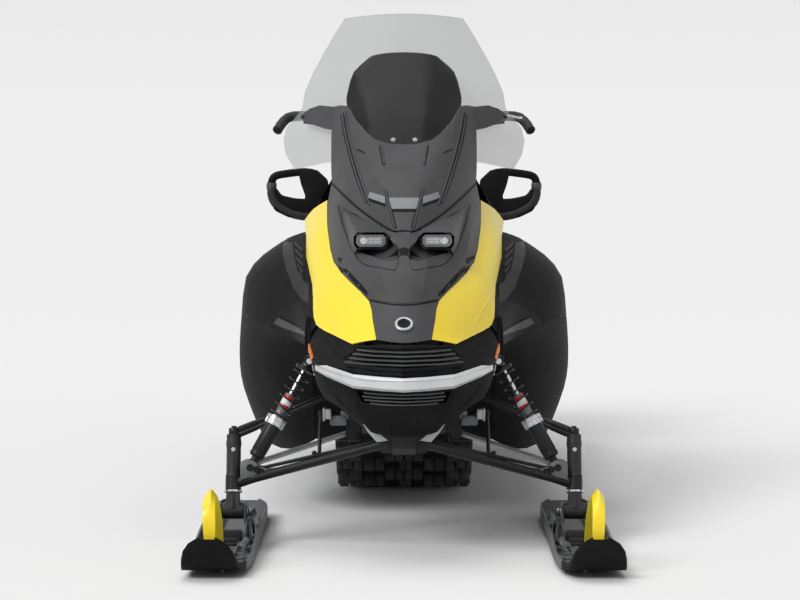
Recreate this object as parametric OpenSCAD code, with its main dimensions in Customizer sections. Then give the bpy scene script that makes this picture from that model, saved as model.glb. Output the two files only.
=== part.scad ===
// Two-seat utility snowmobile: two steered skis in front, one driven track behind.
// Millimetres. +Z is up, the machine faces -Y, and X = 0 is its middle plane.
// The origin is on the ground, under the middle of the machine's length.

/* [Overall] */
// Length from the ski tips to the rear bumper
overall_l = 3280; // [3200:10:3400]
// Distance between the middles of the two skis
ski_stance = 920; // [900:10:1090]
// Height of the top edge of the windshield
screen_top_z = 1425; // [1380:5:1560]

/* [Body] */
// Width of the body across the foot pods
body_w = 956; // [800:2:1040]
// Width of the hood between the coloured side panels
hood_w = 400; // [360:2:460]
// Thickness of the moulded body panels
panel_t = 4; // [3:0.5:5]
// Half of the gap between two body panels
panel_gap = 0.4; // [0.3:0.05:0.45]

/* [Track] */
// Width of the track belt
track_w = 406; // [340:2:490]
// Height of the bars that stand on the belt
lug_h = 38; // [25:1:46]
// Thickness of the belt
belt_t = 8; // [6:0.5:10]
// Number of bars around the belt
lug_count = 61; // [40:1:64]
// Radius of the drive sprocket to the inside of the belt
sprocket_r = 85; // [75:1:90]
// Radius of the rear idler wheels
idler_r = 95; // [80:1:105]

/* [Tunnel] */
// Free space between the track's edge and the tunnel wall
tunnel_clear = 14; // [8:1:20]
// Thickness of the tunnel's sheet metal
tunnel_t = 3; // [2:0.5:4]
// Height of the tunnel's top
tunnel_z = 610; // [600:1:640]

/* [Ski] */
// Length of a ski
ski_l = 1090; // [1000:10:1150]
// Width of a ski behind its tip
ski_w = 156; // [140:2:180]
// Thickness of the ski's sole
sole_t = 8; // [6:0.5:10]
// Width of the hand loop on a ski
loop_w = 28; // [24:1:40]

/* [Front suspension] */
// Lean of the kingpin towards the rear, in degrees
caster = 15; // [12:1:20]
// Radius of the kingpin
kingpin_r = 11; // [9:0.5:13]
// Radius of the ski bolt
ski_bolt_r = 8; // [6:0.5:10]
// Running clearance of pins and bolts, on the radius
fit = 0.05; // [0.03:0.01:0.08]
// Length of the steering arm behind the kingpin
steer_arm = 90; // [75:1:100]

/* [Steering] */
// Width across the handlebar's ends
bar_w = 770; // [640:2:800]
// Radius of the handlebar tube
bar_r = 11; // [10:0.5:13]
// Lean of the steering post, in degrees
post_lean = 37.5; // [36:0.5:39]
// Radius of the steering post
post_r = 14; // [12:0.5:16]

/* [Saddle] */
// Width of the saddle at its widest
saddle_w = 350; // [300:2:380]
// Height of the driver's place above the ground
saddle_z = 835; // [800:5:880]
// Rise of the passenger's place over the driver's
saddle_step = 55; // [30:5:70]

/* [Hidden] */
$fn = 48;

black = "#2b2b2c";
graphite = "#4a4a4a";
yellow = "#ffd93a";
silver = "#c8c8c8";
steel = "#8a8d90";
rubber = "#1d1d1d";

// Stations along the length
front_y = -overall_l / 2;
rear_y = overall_l / 2;
ski_bolt_y = front_y + 555;
half_stance = ski_stance / 2;
hood_x = hood_w / 2;
body_x = body_w / 2;
seat_gap = 0.3;

// ---------- points, rows and grids ----------

function unit(v) = v / norm(v);
function lerp(a, b, t) = a + (b - a) * t;
function flip(p) = [-p.x, p.y, p.z];
function spline(a, b, c, d, t) =
    b + 0.5 * t * (c - a + t * (2 * a - 5 * b + 4 * c - d + t * (3 * b - a - 3 * c + d)));
// A row of points with n steps on a smooth curve between each two
function smooth_row(r, n) = let (e = len(r) - 1) [
    for (i = [0:e - 1], k = [0:n - 1])
        spline(
            i == 0 ? 2 * r[0] - r[1] : r[i - 1], r[i], r[i + 1],
            i + 2 > e ? 2 * r[e] - r[e - 1] : r[i + 2], k / n
        ),
    r[e]
];
function turn(g) = [for (j = [0:len(g[0]) - 1]) [for (i = [0:len(g) - 1]) g[i][j]]];
// A grid with n steps down and m steps across between each two points
function smooth_grid(g, n, m) = turn([for (c = turn([for (r = g) smooth_row(r, m)])) smooth_row(c, n)]);
// The right half of a grid, whose rows start on the middle plane, with its mirror image before it
function both_halves(g) = [for (r = g) concat([for (i = [len(r) - 1:-1:1]) flip(r[i])], r)];
// The part of a grid from row a to row b and from column c to column d
function slice_grid(g, a, b, c, d) = [for (i = [a:b]) slice(g[i], c, d)];
// Draws a row's two ends in by d
function shrink_row(r, d) = let (e = len(r) - 1) [
    for (i = [0:e])
        i == 0 ? r[0] + unit(r[1] - r[0]) * d : i == e ? r[e] + unit(r[e - 1] - r[e]) * d : r[i]
];
// Draws all four edges of a grid in by d
function shrink(g, d) = turn([for (c = turn([for (r = g) shrink_row(r, d)])) shrink_row(c, d)]);

function grid_normal(g, i, j) = let (
    a = g[min(i + 1, len(g) - 1)][j] - g[max(i - 1, 0)][j],
    b = g[i][min(j + 1, len(g[0]) - 1)] - g[i][max(j - 1, 0)]
) unit(cross(a, b));
function slice(r, a, b) = [for (i = [a:a < b ? 1 : -1:b]) r[i]];
// The half of a full grid that lies to +X, with the middle column
function right_half(g) = let (m = (len(g[0]) - 1) / 2) [for (r = g) slice(r, m, len(r) - 1)];
// A grid with its first row, last row or last column set to a shared edge line
function with_top(g, row) = [
    for (i = [0:len(g) - 1]) [for (j = [0:len(g[i]) - 1]) i == 0 && j < len(row) ? row[j] : g[i][j]]
];
function with_foot(g, row) = turn_over(with_top(turn_over(g), row));
function with_side(g, col) = turn(with_foot(turn(g), col));
function turn_over(g) = [for (i = [len(g) - 1:-1:0]) g[i]];

// The grid moved towards its inner side by d
function push_in(g, d) = [
    for (i = [0:len(g) - 1]) [for (j = [0:len(g[0]) - 1]) g[i][j] - d * grid_normal(g, i, j)]
];

rim_bevel = 2.4;

// Closed sheet of thickness t whose outer face is the grid; rows run down and columns run to +X.
// Its rim slopes in, so that two sheets that meet at a bend don't run into each other.
module sheet(g, t) {
    rows = len(g);
    cols = len(g[0]);
    back = shrink(g, rim_bevel);
    outer = [for (i = [0:rows - 1], j = [0:cols - 1]) g[i][j]];
    inner = [for (i = [0:rows - 1], j = [0:cols - 1]) back[i][j] - t * grid_normal(g, i, j)];
    n = rows * cols;
    function at(i, j) = i * cols + j;
    rim = concat(
        [for (j = [0:cols - 2]) [at(0, j), at(0, j + 1)]],
        [for (i = [0:rows - 2]) [at(i, cols - 1), at(i + 1, cols - 1)]],
        [for (j = [cols - 1:-1:1]) [at(rows - 1, j), at(rows - 1, j - 1)]],
        [for (i = [rows - 1:-1:1]) [at(i, 0), at(i - 1, 0)]]
    );
    polyhedron(concat(outer, inner), concat(
        [for (i = [0:rows - 2], j = [0:cols - 2]) each [
            [at(i, j), at(i, j + 1), at(i + 1, j)], [at(i, j + 1), at(i + 1, j + 1), at(i + 1, j)]
        ]],
        [for (i = [0:rows - 2], j = [0:cols - 2]) each [
            [n + at(i, j), n + at(i + 1, j), n + at(i, j + 1)],
            [n + at(i, j + 1), n + at(i + 1, j), n + at(i + 1, j + 1)]
        ]],
        [for (e = rim) each [[e[1], e[0], n + e[0]], [e[1], n + e[0], n + e[1]]]]
    ));
}

// Closed solid through a list of rings with as many points each; a ring that isn't convex gives its caps
module loft(rings, caps = undef) {
    m = len(rings[0]);
    e = len(rings) - 1;
    faces = is_undef(caps) ? [[for (j = [0:m - 1]) j]] : caps;
    polyhedron([for (r = rings) each r], concat(
        [for (f = faces) [for (j = [len(f) - 1:-1:0]) f[j]]],
        [for (i = [0:e - 1], j = [0:m - 1]) let (k = (j + 1) % m) each [
            [i * m + j, i * m + k, (i + 1) * m + j], [i * m + k, (i + 1) * m + k, (i + 1) * m + j]
        ]],
        [for (f = faces) [for (j = f) e * m + j]]
    ));
}

// Rings of a round tube of radius r along a path of points
function tube_rings(path, r, sides, up = [0, 0, 1]) = let (e = len(path) - 1) [
    for (i = [0:e])
        let (
            d = unit(path[min(i + 1, e)] - path[max(i - 1, 0)]),
            s = unit(cross(d, up)),
            u = cross(s, d)
        ) [for (k = [0:sides - 1]) path[i] + r * (cos(360 * k / sides) * s + sin(360 * k / sides) * u)]
];

// Cylinder between two points
module rod(a, b, r, r2 = undef) {
    d = b - a;
    translate(a)
        rotate([0, acos(d.z / norm(d)), atan2(d.y, d.x)])
            cylinder(h = norm(d), r1 = r, r2 = is_undef(r2) ? r : r2);
}

module mirrored() {
    children();
    mirror([1, 0, 0]) children();
}

// Profile in the Y-Z plane, extruded from x0 to x1
module side_cut(x0, x1) {
    translate([x0, 0, 0]) rotate([90, 0, 90]) linear_extrude(x1 - x0) children();
}

// ---------- body surfaces ----------

// The body's points follow the hood's and the body's width
function hood_pt(x, y, z) = [x * hood_x / 200, y, z];
// From the coloured panel out to the pods, the width grows from the hood's to the body's
function body_pt(x, y, z) = [
    x <= 200 ? x * hood_x / 200 : hood_x + (x - 200) * (body_x - hood_x) / 278, y, z
];

// Inner edge of the coloured side panel, from the screen down to the nose lip
edge_a = [
    hood_pt(215, -560, 896), hood_pt(212, -700, 846), hood_pt(205, -800, 805), hood_pt(187, -940, 742),
    hood_pt(140, -1085, 698), hood_pt(90, -1214, 658), hood_pt(80, -1276, 616), hood_pt(70, -1332, 568)
];
// Outer edge of the coloured side panel
edge_o = [
    body_pt(284, -480, 834), body_pt(272, -640, 796), body_pt(267, -770, 746), body_pt(245, -930, 680),
    body_pt(240, -1030, 625), body_pt(230, -1086, 586), hood_pt(182, -1190, 568), hood_pt(134, -1288, 554)
];
// Edge between the hood and the headlight fascia, from the middle outwards
edge_v = [
    hood_pt(0, -1056, 833), hood_pt(32, -1048, 834), hood_pt(101, -930, 873), hood_pt(160, -800, 917),
    hood_pt(200, -640, 948)
];
// Edge between the headlight fascia and the nose panel, from the middle outwards
edge_n = [hood_pt(0, -1272, 652), hood_pt(45, -1258, 655), edge_a[5]];
// Edge between the side panel and the foot pod, from the front to the rear
edge_p = [
    body_pt(260, -1050, 536), body_pt(264, -990, 526), body_pt(290, -880, 528), body_pt(368, -756, 556),
    body_pt(440, -600, 572), body_pt(466, -420, 560), body_pt(470, -180, 545)
];
line_a = smooth_row(edge_a, 2);
line_o = smooth_row(edge_o, 2);
line_n = right_half([smooth_row(both_halves([edge_n])[0], 2)])[0];
line_p = smooth_row(edge_p, 2);

hood_rows = [
    [hood_pt(0, -720, 1054), hood_pt(80, -700, 1068), hood_pt(132, -610, 1118), hood_pt(160, -545, 1160),
        hood_pt(200, -480, 1158)],
    [hood_pt(0, -840, 988), hood_pt(74, -820, 994), hood_pt(124, -720, 1036), hood_pt(162, -615, 1080),
        hood_pt(204, -524, 1096)],
    [hood_pt(0, -930, 932), hood_pt(60, -912, 934), hood_pt(112, -820, 962), hood_pt(162, -700, 1000),
        hood_pt(204, -566, 1034)],
    [hood_pt(0, -1004, 880), hood_pt(44, -992, 881), hood_pt(104, -886, 914), hood_pt(160, -755, 952),
        hood_pt(203, -606, 986)],
    edge_v
];
hood_grid = right_half(smooth_grid(both_halves(hood_rows), 2, 2));

fascia_rows = [
    edge_v,
    [hood_pt(0, -1080, 812), hood_pt(44, -1064, 814), hood_pt(116, -950, 846), hood_pt(172, -816, 884),
        lerp(edge_v[4], edge_a[1], 0.45) + [4, 0, 0]],
    [hood_pt(0, -1110, 788), hood_pt(56, -1092, 790), hood_pt(126, -990, 808), hood_pt(180, -860, 836),
        edge_a[1]],
    [hood_pt(0, -1160, 750), hood_pt(58, -1146, 752), hood_pt(120, -1060, 762), hood_pt(170, -950, 782),
        edge_a[2]],
    [hood_pt(0, -1220, 704), hood_pt(52, -1206, 708), hood_pt(106, -1138, 714), hood_pt(150, -1046, 726),
        edge_a[3]],
    [edge_n[0], edge_n[1], edge_n[2], line_a[9], edge_a[4]]
];
fascia_top = right_half(smooth_grid(both_halves(fascia_rows), 2, 2));
fascia_sided = with_side(fascia_top, concat(
    [for (i = [0:3]) fascia_top[i][8]], slice(line_a, 2, 8)
));
fascia_grid = with_foot(fascia_sided, concat(
    slice(line_n, 0, 4),
    [lerp(line_a[10], line_a[9], 0.5), line_a[9], lerp(line_a[9], line_a[8], 0.5), line_a[8]]
));

nose_rows = [
    edge_n,
    [hood_pt(0, -1322, 608), hood_pt(42, -1312, 610), edge_a[6]],
    [hood_pt(0, -1360, 562), hood_pt(35, -1352, 564), edge_a[7]]
];
nose_grid = with_side(
    with_top(right_half(smooth_grid(both_halves(nose_rows), 2, 2)), line_n),
    slice(line_a, 10, 14)
);

side_hood_crown = [6, 8, 9, 10, 9, 8, 5, 1];
side_hood_rows = [
    for (i = [0:7])
        [edge_a[i], lerp(edge_a[i], edge_o[i], 0.5) + side_hood_crown[i] * [1, -0.3, 0.8], edge_o[i]]
];
side_hood_grid = smooth_grid(side_hood_rows, 2, 2);

side_panel_rows = [
    concat([for (i = [5:-1:0]) edge_o[i]], [body_pt(290, -300, 846)]),
    [body_pt(236, -1082, 575), body_pt(247, -1034, 606), body_pt(262, -922, 662), body_pt(300, -782, 722),
        body_pt(332, -640, 764), body_pt(342, -460, 778), body_pt(344, -240, 760)],
    [body_pt(241, -1078, 567), body_pt(252, -1034, 588), body_pt(282, -922, 636), body_pt(328, -790, 694),
        body_pt(376, -636, 730), body_pt(402, -440, 736), body_pt(406, -220, 714)],
    [body_pt(249, -1068, 554), body_pt(258, -1022, 562), body_pt(292, -900, 590), body_pt(358, -772, 634),
        body_pt(428, -608, 668), body_pt(452, -430, 672), body_pt(454, -200, 650)],
    edge_p
];
side_panel_grid = with_top(smooth_grid(side_panel_rows, 2, 2), slice(line_o, 10, 0));

// Foot pod: closed in front, open behind where the boot goes in
foot_pod_rows = [
    slice(edge_p, 2, 6),
    [body_pt(262, -790, 500), body_pt(345, -700, 500), body_pt(425, -560, 498), body_pt(472, -400, 490),
        body_pt(478, -180, 480)],
    [body_pt(250, -734, 420), body_pt(338, -670, 415), body_pt(424, -530, 412), body_pt(474, -370, 415),
        body_pt(478, -180, 410)],
    [body_pt(244, -700, 345), body_pt(330, -640, 340), body_pt(416, -500, 338), body_pt(464, -350, 345),
        body_pt(470, -180, 345)],
    [body_pt(244, -660, 265), body_pt(318, -590, 250), body_pt(385, -480, 245), body_pt(430, -345, 250),
        body_pt(440, -190, 262)],
    [body_pt(250, -610, 225), body_pt(300, -540, 195), body_pt(352, -440, 180), body_pt(404, -340, 195),
        body_pt(410, -200, 215)]
];
foot_pod_grid = with_top(smooth_grid(foot_pod_rows, 2, 2), slice(line_p, 4, 12));

belly_rows = [
    [hood_pt(0, -1364, 556), hood_pt(60, -1344, 557), hood_pt(118, -1302, 548), hood_pt(177, -1184, 567),
        body_pt(226, -1084, 581), body_pt(236, -1036, 576)],
    [hood_pt(0, -1392, 514), hood_pt(70, -1374, 512), hood_pt(140, -1322, 508), hood_pt(196, -1214, 514),
        body_pt(246, -1102, 528), body_pt(248, -1040, 524)],
    [hood_pt(0, -1402, 480), hood_pt(72, -1386, 480), hood_pt(146, -1334, 480), hood_pt(194, -1240, 484),
        body_pt(236, -1128, 488), body_pt(240, -1044, 484)],
    [hood_pt(0, -1402, 440), hood_pt(66, -1386, 440), hood_pt(132, -1336, 442), hood_pt(184, -1244, 446),
        body_pt(228, -1134, 450), body_pt(232, -1048, 440)],
    [hood_pt(0, -1386, 400), hood_pt(60, -1372, 402), hood_pt(116, -1326, 406), hood_pt(166, -1236, 412),
        body_pt(210, -1138, 412), body_pt(214, -1056, 396)],
    [hood_pt(0, -1330, 352), hood_pt(48, -1322, 354), hood_pt(96, -1290, 360), hood_pt(140, -1220, 372),
        body_pt(176, -1142, 380), body_pt(180, -1070, 372)],
    [hood_pt(0, -1298, 316), hood_pt(36, -1291, 318), hood_pt(72, -1268, 321), hood_pt(100, -1222, 328),
        body_pt(124, -1164, 342), body_pt(128, -1110, 352)]
];
belly_grid = right_half(smooth_grid(both_halves(belly_rows), 2, 2));
belly_full = both_halves(belly_grid);

stud_r = 6;
stud_gap = 0.8;

// Stud that carries a panel: it ends just short of the face and runs back to a frame member
module stud(g, i, j, foot, depth = panel_t + stud_gap) {
    n = grid_normal(g, i, j);
    elbow = g[i][j] - (depth + sign(depth) * 14) * n;
    rod(g[i][j] - depth * n, elbow, stud_r);
    translate(elbow) sphere(r = stud_r + 1);
    rod(elbow, foot, stud_r);
}

// ---------- chassis ----------

bulk_x = 108;
bulk_y0 = -1262;
bulk_y1 = -560;
bulk_z0 = 262;
bulk_floor = 308;
bulk_z1 = 420;
pillar = [100, -955];
pillar_z = 780;
arm_front = [46, -1215, 290];
arm_rear = [144, -850, 276];
link_in = [196, -950, 392];
shock_top = [250, -1015, 486];
bush_r = 15;
bush_l = 44;
ear_t = 6;
pin_r = 5;

// Two ears and the pin of an eye whose axis runs along Y; the ears are an outline in X and Z
module ears(p, half_l, outline) {
    for (s = [-1, 1])
        translate([0, p.y + s * (half_l + seat_gap + ear_t / 2) + ear_t / 2, 0])
            rotate([90, 0, 0]) linear_extrude(ear_t) polygon(outline);
    translate(p) rotate([90, 0, 0]) cylinder(h = 2 * half_l + 2 * ear_t, r = pin_r, center = true);
}

module bulkhead() color(black) {
    side_cut(-bulk_x, bulk_x)
        polygon([
            [bulk_y0, bulk_floor + 70], [bulk_y0, bulk_z1 - 36], [bulk_y0 + 36, bulk_z1], [bulk_y1, bulk_z1],
            [bulk_y1, bulk_floor + 14], [bulk_y1 - 60, bulk_floor], [bulk_y0 + 110, bulk_floor]
        ]);
    // Keel between the lower arms
    side_cut(-30, 30)
        polygon([
            [bulk_y0, bulk_floor + 50], [bulk_y0, bulk_z0 + 20], [bulk_y0 + 30, bulk_z0], [-890, bulk_z0],
            [-870, bulk_floor + 1]
        ]);
    mirrored() {
        ears(arm_front, bush_l / 2, [[29, 268], [58, 268], [60, 300], [60, 330], [29, 330]]);
        ears(arm_rear, bush_l / 2, [[104, 309], [138, 262], [156, 262], [156, 300], [130, 330], [104, 330]]);
        ears(link_in, 15, [[104, 350], [190, 378], [208, 382], [208, 404], [190, 414], [104, 419]]);
        ears(shock_top, 14, [
            [100, 380], [112, 380], [180, 440], [236, 482], [262, 479], [266, 496], [240, 502], [150, 470],
            [100, 424]
        ]);
        stud(belly_grid, 5, 6, [100, bulk_y0 + 70, 400]);
        stud(belly_grid, 8, 8, [100, bulk_y0 + 84, 380]);
    }
    // Plate that carries the nose
    translate([-95, bulk_y0 + 60, bulk_z1 - 1]) cube([190, 6, 80]);
    mirrored() stud(nose_grid, 2, 1, [40, bulk_y0 + 63, 490]);
}

engine_x = 185;

module engine() color(steel)
    translate([-engine_x, -910, bulk_z1]) cube([2 * engine_x, bulk_y1 + 910 - seat_gap, 300]);

tunnel_x = track_w / 2 + tunnel_clear;
tunnel_y1 = rear_y - 255;
tunnel_low = 352;

module tunnel() color(steel) {
    difference() {
        translate([-tunnel_x - tunnel_t, bulk_y1, tunnel_low])
            cube([2 * (tunnel_x + tunnel_t), tunnel_y1 - bulk_y1, tunnel_z - tunnel_low]);
        translate([-tunnel_x, bulk_y1 + tunnel_t, tunnel_low - 1])
            cube([2 * tunnel_x, tunnel_y1 - bulk_y1, tunnel_z - tunnel_low + 1 - tunnel_t]);
        // The walls rise towards the rear
        side_cut(-tunnel_x - 10, tunnel_x + 10)
            polygon([
                [running_y1 + 20, tunnel_low - 1], [tunnel_y1 + 1, 520], [tunnel_y1 + 1, tunnel_low - 1]
            ]);
    }
}

// Steering axis, as a point and a direction
post_top = [0, -20, 1092];
post_dir = [0, sin(post_lean), cos(post_lean)];
function on_post(z) = post_top + post_dir * ((z - post_top.z) / post_dir.z);
bearing_z = 770;

module along_post(z) {
    translate(on_post(z)) rotate([-post_lean, 0, 0]) children();
}

cross_y = -640;
cross_z = 900;
cross_x = 150;
leg_foot = [120, -120, tunnel_z];

module upper_frame() color(black) {
    difference() {
        union() {
            along_post(bearing_z) cylinder(h = 40, r = post_r + 14, center = true);
            mirrored() {
                rod([pillar.x, pillar.y, bulk_z1], [pillar.x, pillar.y, pillar_z], 12);
                translate([pillar.x, pillar.y, pillar_z]) sphere(r = 14);
                rod([pillar.x, pillar.y, pillar_z], [cross_x, cross_y, cross_z], 12);
                rod([cross_x, cross_y, cross_z], [20, on_post(bearing_z).y - 16, bearing_z], 12);
                rod([20, on_post(bearing_z).y + 10, bearing_z - 8], leg_foot + [0, 0, 12], 12);
                translate(leg_foot) cylinder(h = 14, r = 24);
                translate([cross_x, cross_y, cross_z]) sphere(r = 14);
                stud(hood_grid, 2, 4, [cross_x - 40, cross_y, cross_z]);
                stud(fascia_grid, 8, 4, [pillar.x, pillar.y, pillar_z]);
                stud(screen_grid, 8, 2, [cross_x, cross_y, cross_z], -seat_gap);
                stud(console_grid, 2, 4, [cross_x, cross_y + 30, cross_z - 12]);
            }
            rod([-cross_x, cross_y, cross_z], [cross_x, cross_y, cross_z], 12);
        }
        along_post(bearing_z) cylinder(h = 90, r = post_r + fit, center = true);
        translate([-300, -300, tunnel_z - 30]) cube([600, 400, 30]);
    }
}

// ---------- nose, hood and side panels ----------

grille_top = 546;
grille_low = 512;

module grille_window() {
    rotate([90, 0, 0]) translate([0, 0, 1180]) linear_extrude(300)
        polygon([
            [-118, grille_top], [118, grille_top], [156, grille_low + 4], [140, grille_low - 10],
            [0, grille_low - 16], [-140, grille_low - 10], [-156, grille_low + 4]
        ]);
}

module lower_window() {
    rotate([90, 0, 0]) translate([0, 0, 1180]) linear_extrude(300)
        polygon([[-120, 440], [120, 440], [106, 410], [0, 402], [-106, 410]]);
}

module belly_pan() color(black)
    difference() {
        sheet(belly_full, panel_t);
        grille_window();
        lower_window();
    }

// V-shaped slats behind the two windows, joined by the frame at their ends
module slat(z, half, y_mid, y_end) {
    mirrored() hull() for (p = [[0, y_mid], [half, y_end]])
        translate([p.x, p.y, z]) cube([0.6, 16, 4]);
}

module front_grille() color(black) {
    for (z = [506, 518, 530]) slat(z, 122, -1372, -1304);
    for (z = [414, 424]) slat(z, 100, -1376, -1324);
    mirrored() {
        translate([92, -1322, 412]) cube([8, 24, 130]);
        translate([90, -1300, 452]) cube([6, 1300 + bulk_y0 + 60 - seat_gap, 30]);
    }
}

bumper_path = [
    body_pt(230, -1182, 482), hood_pt(200, -1254, 481), hood_pt(127, -1374, 466), hood_pt(60, -1410, 463),
    hood_pt(0, -1428, 461)
];
bumper_size = [[4, 6], [13, 15], [15, 18], [15, 18], [15, 18]];

function bumper_ring(p, s) = [
    for (q = [[-0.9, -0.55], [0.2, -1], [1, -0.75], [1, 0.75], [0.2, 1], [-0.9, 0.55]])
        p + [0, q[0] * s[0], q[1] * s[1]]
];

module front_bumper() color(silver)
    difference() {
        mirrored() loft([for (i = [0:4]) bumper_ring(bumper_path[i], bumper_size[i])]);
        sheet(push_in(belly_full, -seat_gap), 40);
    }

module nose_panel() color(graphite)
    sheet(shrink(both_halves(nose_grid), panel_gap), panel_t);

// Outline of a headlight's pocket, in X and Z
eye = [
    [12, 762], [16, 786], [44, 820], [100, 850], [140, 868], [168, 880], [162, 858], [144, 820], [116, 774],
    [40, 756]
];

module eye_prism(grow, y0, y1) {
    rotate([90, 0, 0]) translate([0, 0, -y1]) linear_extrude(y1 - y0)
        offset(delta = grow) polygon([for (p = eye) [p.x * hood_x / 200, p.y]]);
}

fascia_full = both_halves(fascia_grid);

module headlight_fascia() color(graphite)
    difference() {
        sheet(shrink(fascia_full, panel_gap), panel_t);
        mirrored() eye_prism(0, -1300, -600);
    }

lamp_x = 87;
lamp_z = 806;
lamp_y = -1066;

module lamp_prism(grow, y0, y1) {
    translate([0, 0, lamp_z]) rotate([90, 0, 0]) translate([0, 0, -y1]) linear_extrude(y1 - y0)
        offset(delta = grow) polygon([
            for (p = [[-40, -8], [-32, -17], [32, -17], [40, -6], [40, 8], [32, 17], [-32, 17], [-40, 10]])
                [lamp_x * hood_x / 200 + p.x, p.y]
        ]);
}

module headlight_bezels() color(black)
    mirrored() difference() {
        intersection() {
            sheet(push_in(fascia_full, panel_t + stud_gap), 26);
            eye_prism(4, -1300, -600);
        }
        intersection() {
            sheet(push_in(fascia_full, panel_t - 1), 24);
            eye_prism(0, -1300, -600);
        }
        lamp_prism(seat_gap, -1300, -600);
    }

module headlights() color("white")
    mirrored() lamp_prism(0, lamp_y - 8, lamp_y + 70);

module hood() color(graphite)
    sheet(shrink(both_halves(hood_grid), panel_gap), panel_t);

wing_t = 12;
wing_grid = [
    [hood_rows[0][4], hood_pt(240, -450, 1162), hood_pt(270, -424, 1152), hood_pt(296, -408, 1132)],
    [hood_rows[1][4], hood_pt(232, -496, 1098), hood_pt(262, -462, 1110), hood_pt(288, -436, 1120)]
];

module hood_wings() color(graphite)
    mirrored() sheet(shrink(wing_grid, panel_gap), wing_t);

module side_hoods() color(yellow)
    mirrored() sheet(shrink(side_hood_grid, panel_gap), panel_t);

module side_panels() color(black)
    mirrored() sheet(shrink(side_panel_grid, panel_gap), panel_t);

// Wall that closes the pod towards the tunnel
pod_wall_grid = smooth_grid([
    [[bulk_x + 4, -704, 412], [180, -722, 414], body_pt(254, -735, 418)],
    [[bulk_x + 4, -676, 345], [180, -690, 345], body_pt(250, -702, 345)],
    [[bulk_x + 6, -636, 272], [180, -650, 268], body_pt(250, -663, 266)],
    [[bulk_x + 60, -606, 240], [204, -606, 232], body_pt(255, -609, 226)]
], 1, 2);

module foot_pods() color(black)
    mirrored() {
        sheet(shrink(foot_pod_grid, panel_gap), panel_t);
        sheet(pod_wall_grid, panel_t);
    }

marker_low = push_in(slice_grid(belly_grid, 2, 4, 7, 9), -seat_gap);

// Amber reflectors, laid on the sides of the belly pan
module side_markers() color("orange")
    mirrored() sheet(push_in(marker_low, -3), 3);

// ---------- screens, console and gauge ----------

screen_grid = [
    for (r = [
        [1, screen_top_z, 171, screen_top_z - 12, -336, -286],
        [0, 1378, 200, 1368, -362, -292],
        [0, 1325, 230, 1316, -392, -300],
        [0, 1262, 262, 1256, -430, -314],
        [0, 1205, 286, 1200, -466, -328],
        [0, 1156, 294, 1150, -498, -338],
        [0, 1118, 340, 1096, -524, -334],
        [0, 1080, 348, 1060, -552, -338],
        [0, 1046, 340, 1020, -578, -352],
        [0, 1020, 314, 978, -600, -396]
    ])
        [
            for (u = [0:0.25:1])
                [r[2] * u * hood_x / 200, lerp(r[4], r[5], pow(u, 2.2)), lerp(r[1], r[3], u * u)]
        ]
];

module windshield() color("white", 0.4)
    sheet(both_halves(screen_grid), panel_t);

tint_rows = [
    [hood_pt(0, -462, 1312), hood_pt(54, -458, 1309), hood_pt(90, -454, 1302), hood_pt(104, -450, 1292)],
    [hood_pt(0, -522, 1255), hood_pt(70, -512, 1253), hood_pt(122, -496, 1252), hood_pt(142, -478, 1256)],
    [hood_pt(0, -600, 1180), hood_pt(76, -586, 1184), hood_pt(132, -540, 1194), hood_pt(157, -508, 1208)],
    [hood_pt(0, -672, 1108), hood_pt(80, -652, 1120), hood_pt(134, -580, 1150), hood_pt(162, -530, 1178)],
    slice(hood_rows[0], 0, 3)
];
tint_grid = with_foot(right_half(smooth_grid(both_halves(tint_rows), 2, 2)), slice(hood_grid[0], 0, 6));

module tinted_screen() color("dimgray", 0.8)
    sheet(shrink(both_halves(tint_grid), panel_gap), panel_t - 1);

console_rows = [
    [[0, -75, 862], [80, -75, 855], [136, -75, 820], [hood_x - 10, -80, 720], body_pt(290, -95, 600)],
    [[0, -180, 890], [90, -180, 885], [145, -180, 850], [hood_x, -190, 770], body_pt(294, -200, 700)],
    [[0, -330, 990], [90, -330, 985], [150, -310, 950], [hood_x + 4, -300, 880], body_pt(284, -300, 826)],
    [
        [0, -470, 1034], [90, -460, 1030], [150, -420, 1010], [hood_x - 4, -410, 950],
        body_pt(278, -400, 832)
    ],
    [
        [0, -560, 1004], [90, -550, 1004], [150, -510, 1000], [hood_x - 12, -466, 984],
        body_pt(270, -464, 828)
    ]
];
console_grid = right_half(smooth_grid(both_halves(console_rows), 2, 2));

module console() color(black)
    difference() {
        sheet(both_halves(console_grid), panel_t);
        along_post(900) cylinder(h = 400, r = post_r + 22, center = true);
    }

module gauge() color(black) {
    translate([0, -420, 1052]) rotate([38, 0, 0]) translate([-75, -8, 0]) cube([150, 22, 84]);
    stud(console_grid, 6, 0, [0, -430, 1070], -seat_gap);
}

// ---------- tank, saddle and passenger's place ----------

tank_y0 = -60;
tank_y1 = 210;
saddle_y1 = 720;
pass_y1 = rear_y - 450;

function arch_ring(y, half, z0, z1, crown) = [
    for (p = [
        [-half, z0], [half, z0], [half, lerp(z0, z1, 0.72)], [half * 0.86, z1 - crown * 0.35],
        [half * 0.5, z1], [-half * 0.5, z1], [-half * 0.86, z1 - crown * 0.35], [-half, lerp(z0, z1, 0.72)]
    ]) [p.x, y, p.y]
];

module fuel_tank() color(black)
    loft([
        arch_ring(tank_y0, 130, tunnel_z, 840, 50),
        arch_ring(40, 140, tunnel_z, 852, 50),
        arch_ring(tank_y1, 120, tunnel_z, 826, 60)
    ]);

module fuel_cap() color(black)
    translate([0, 60, 852 + seat_gap]) {
        cylinder(h = 22, r = 34);
        for (a = [0:45:179]) rotate(a) translate([-37, -5, 4]) cube([74, 10, 16]);
    }

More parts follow.
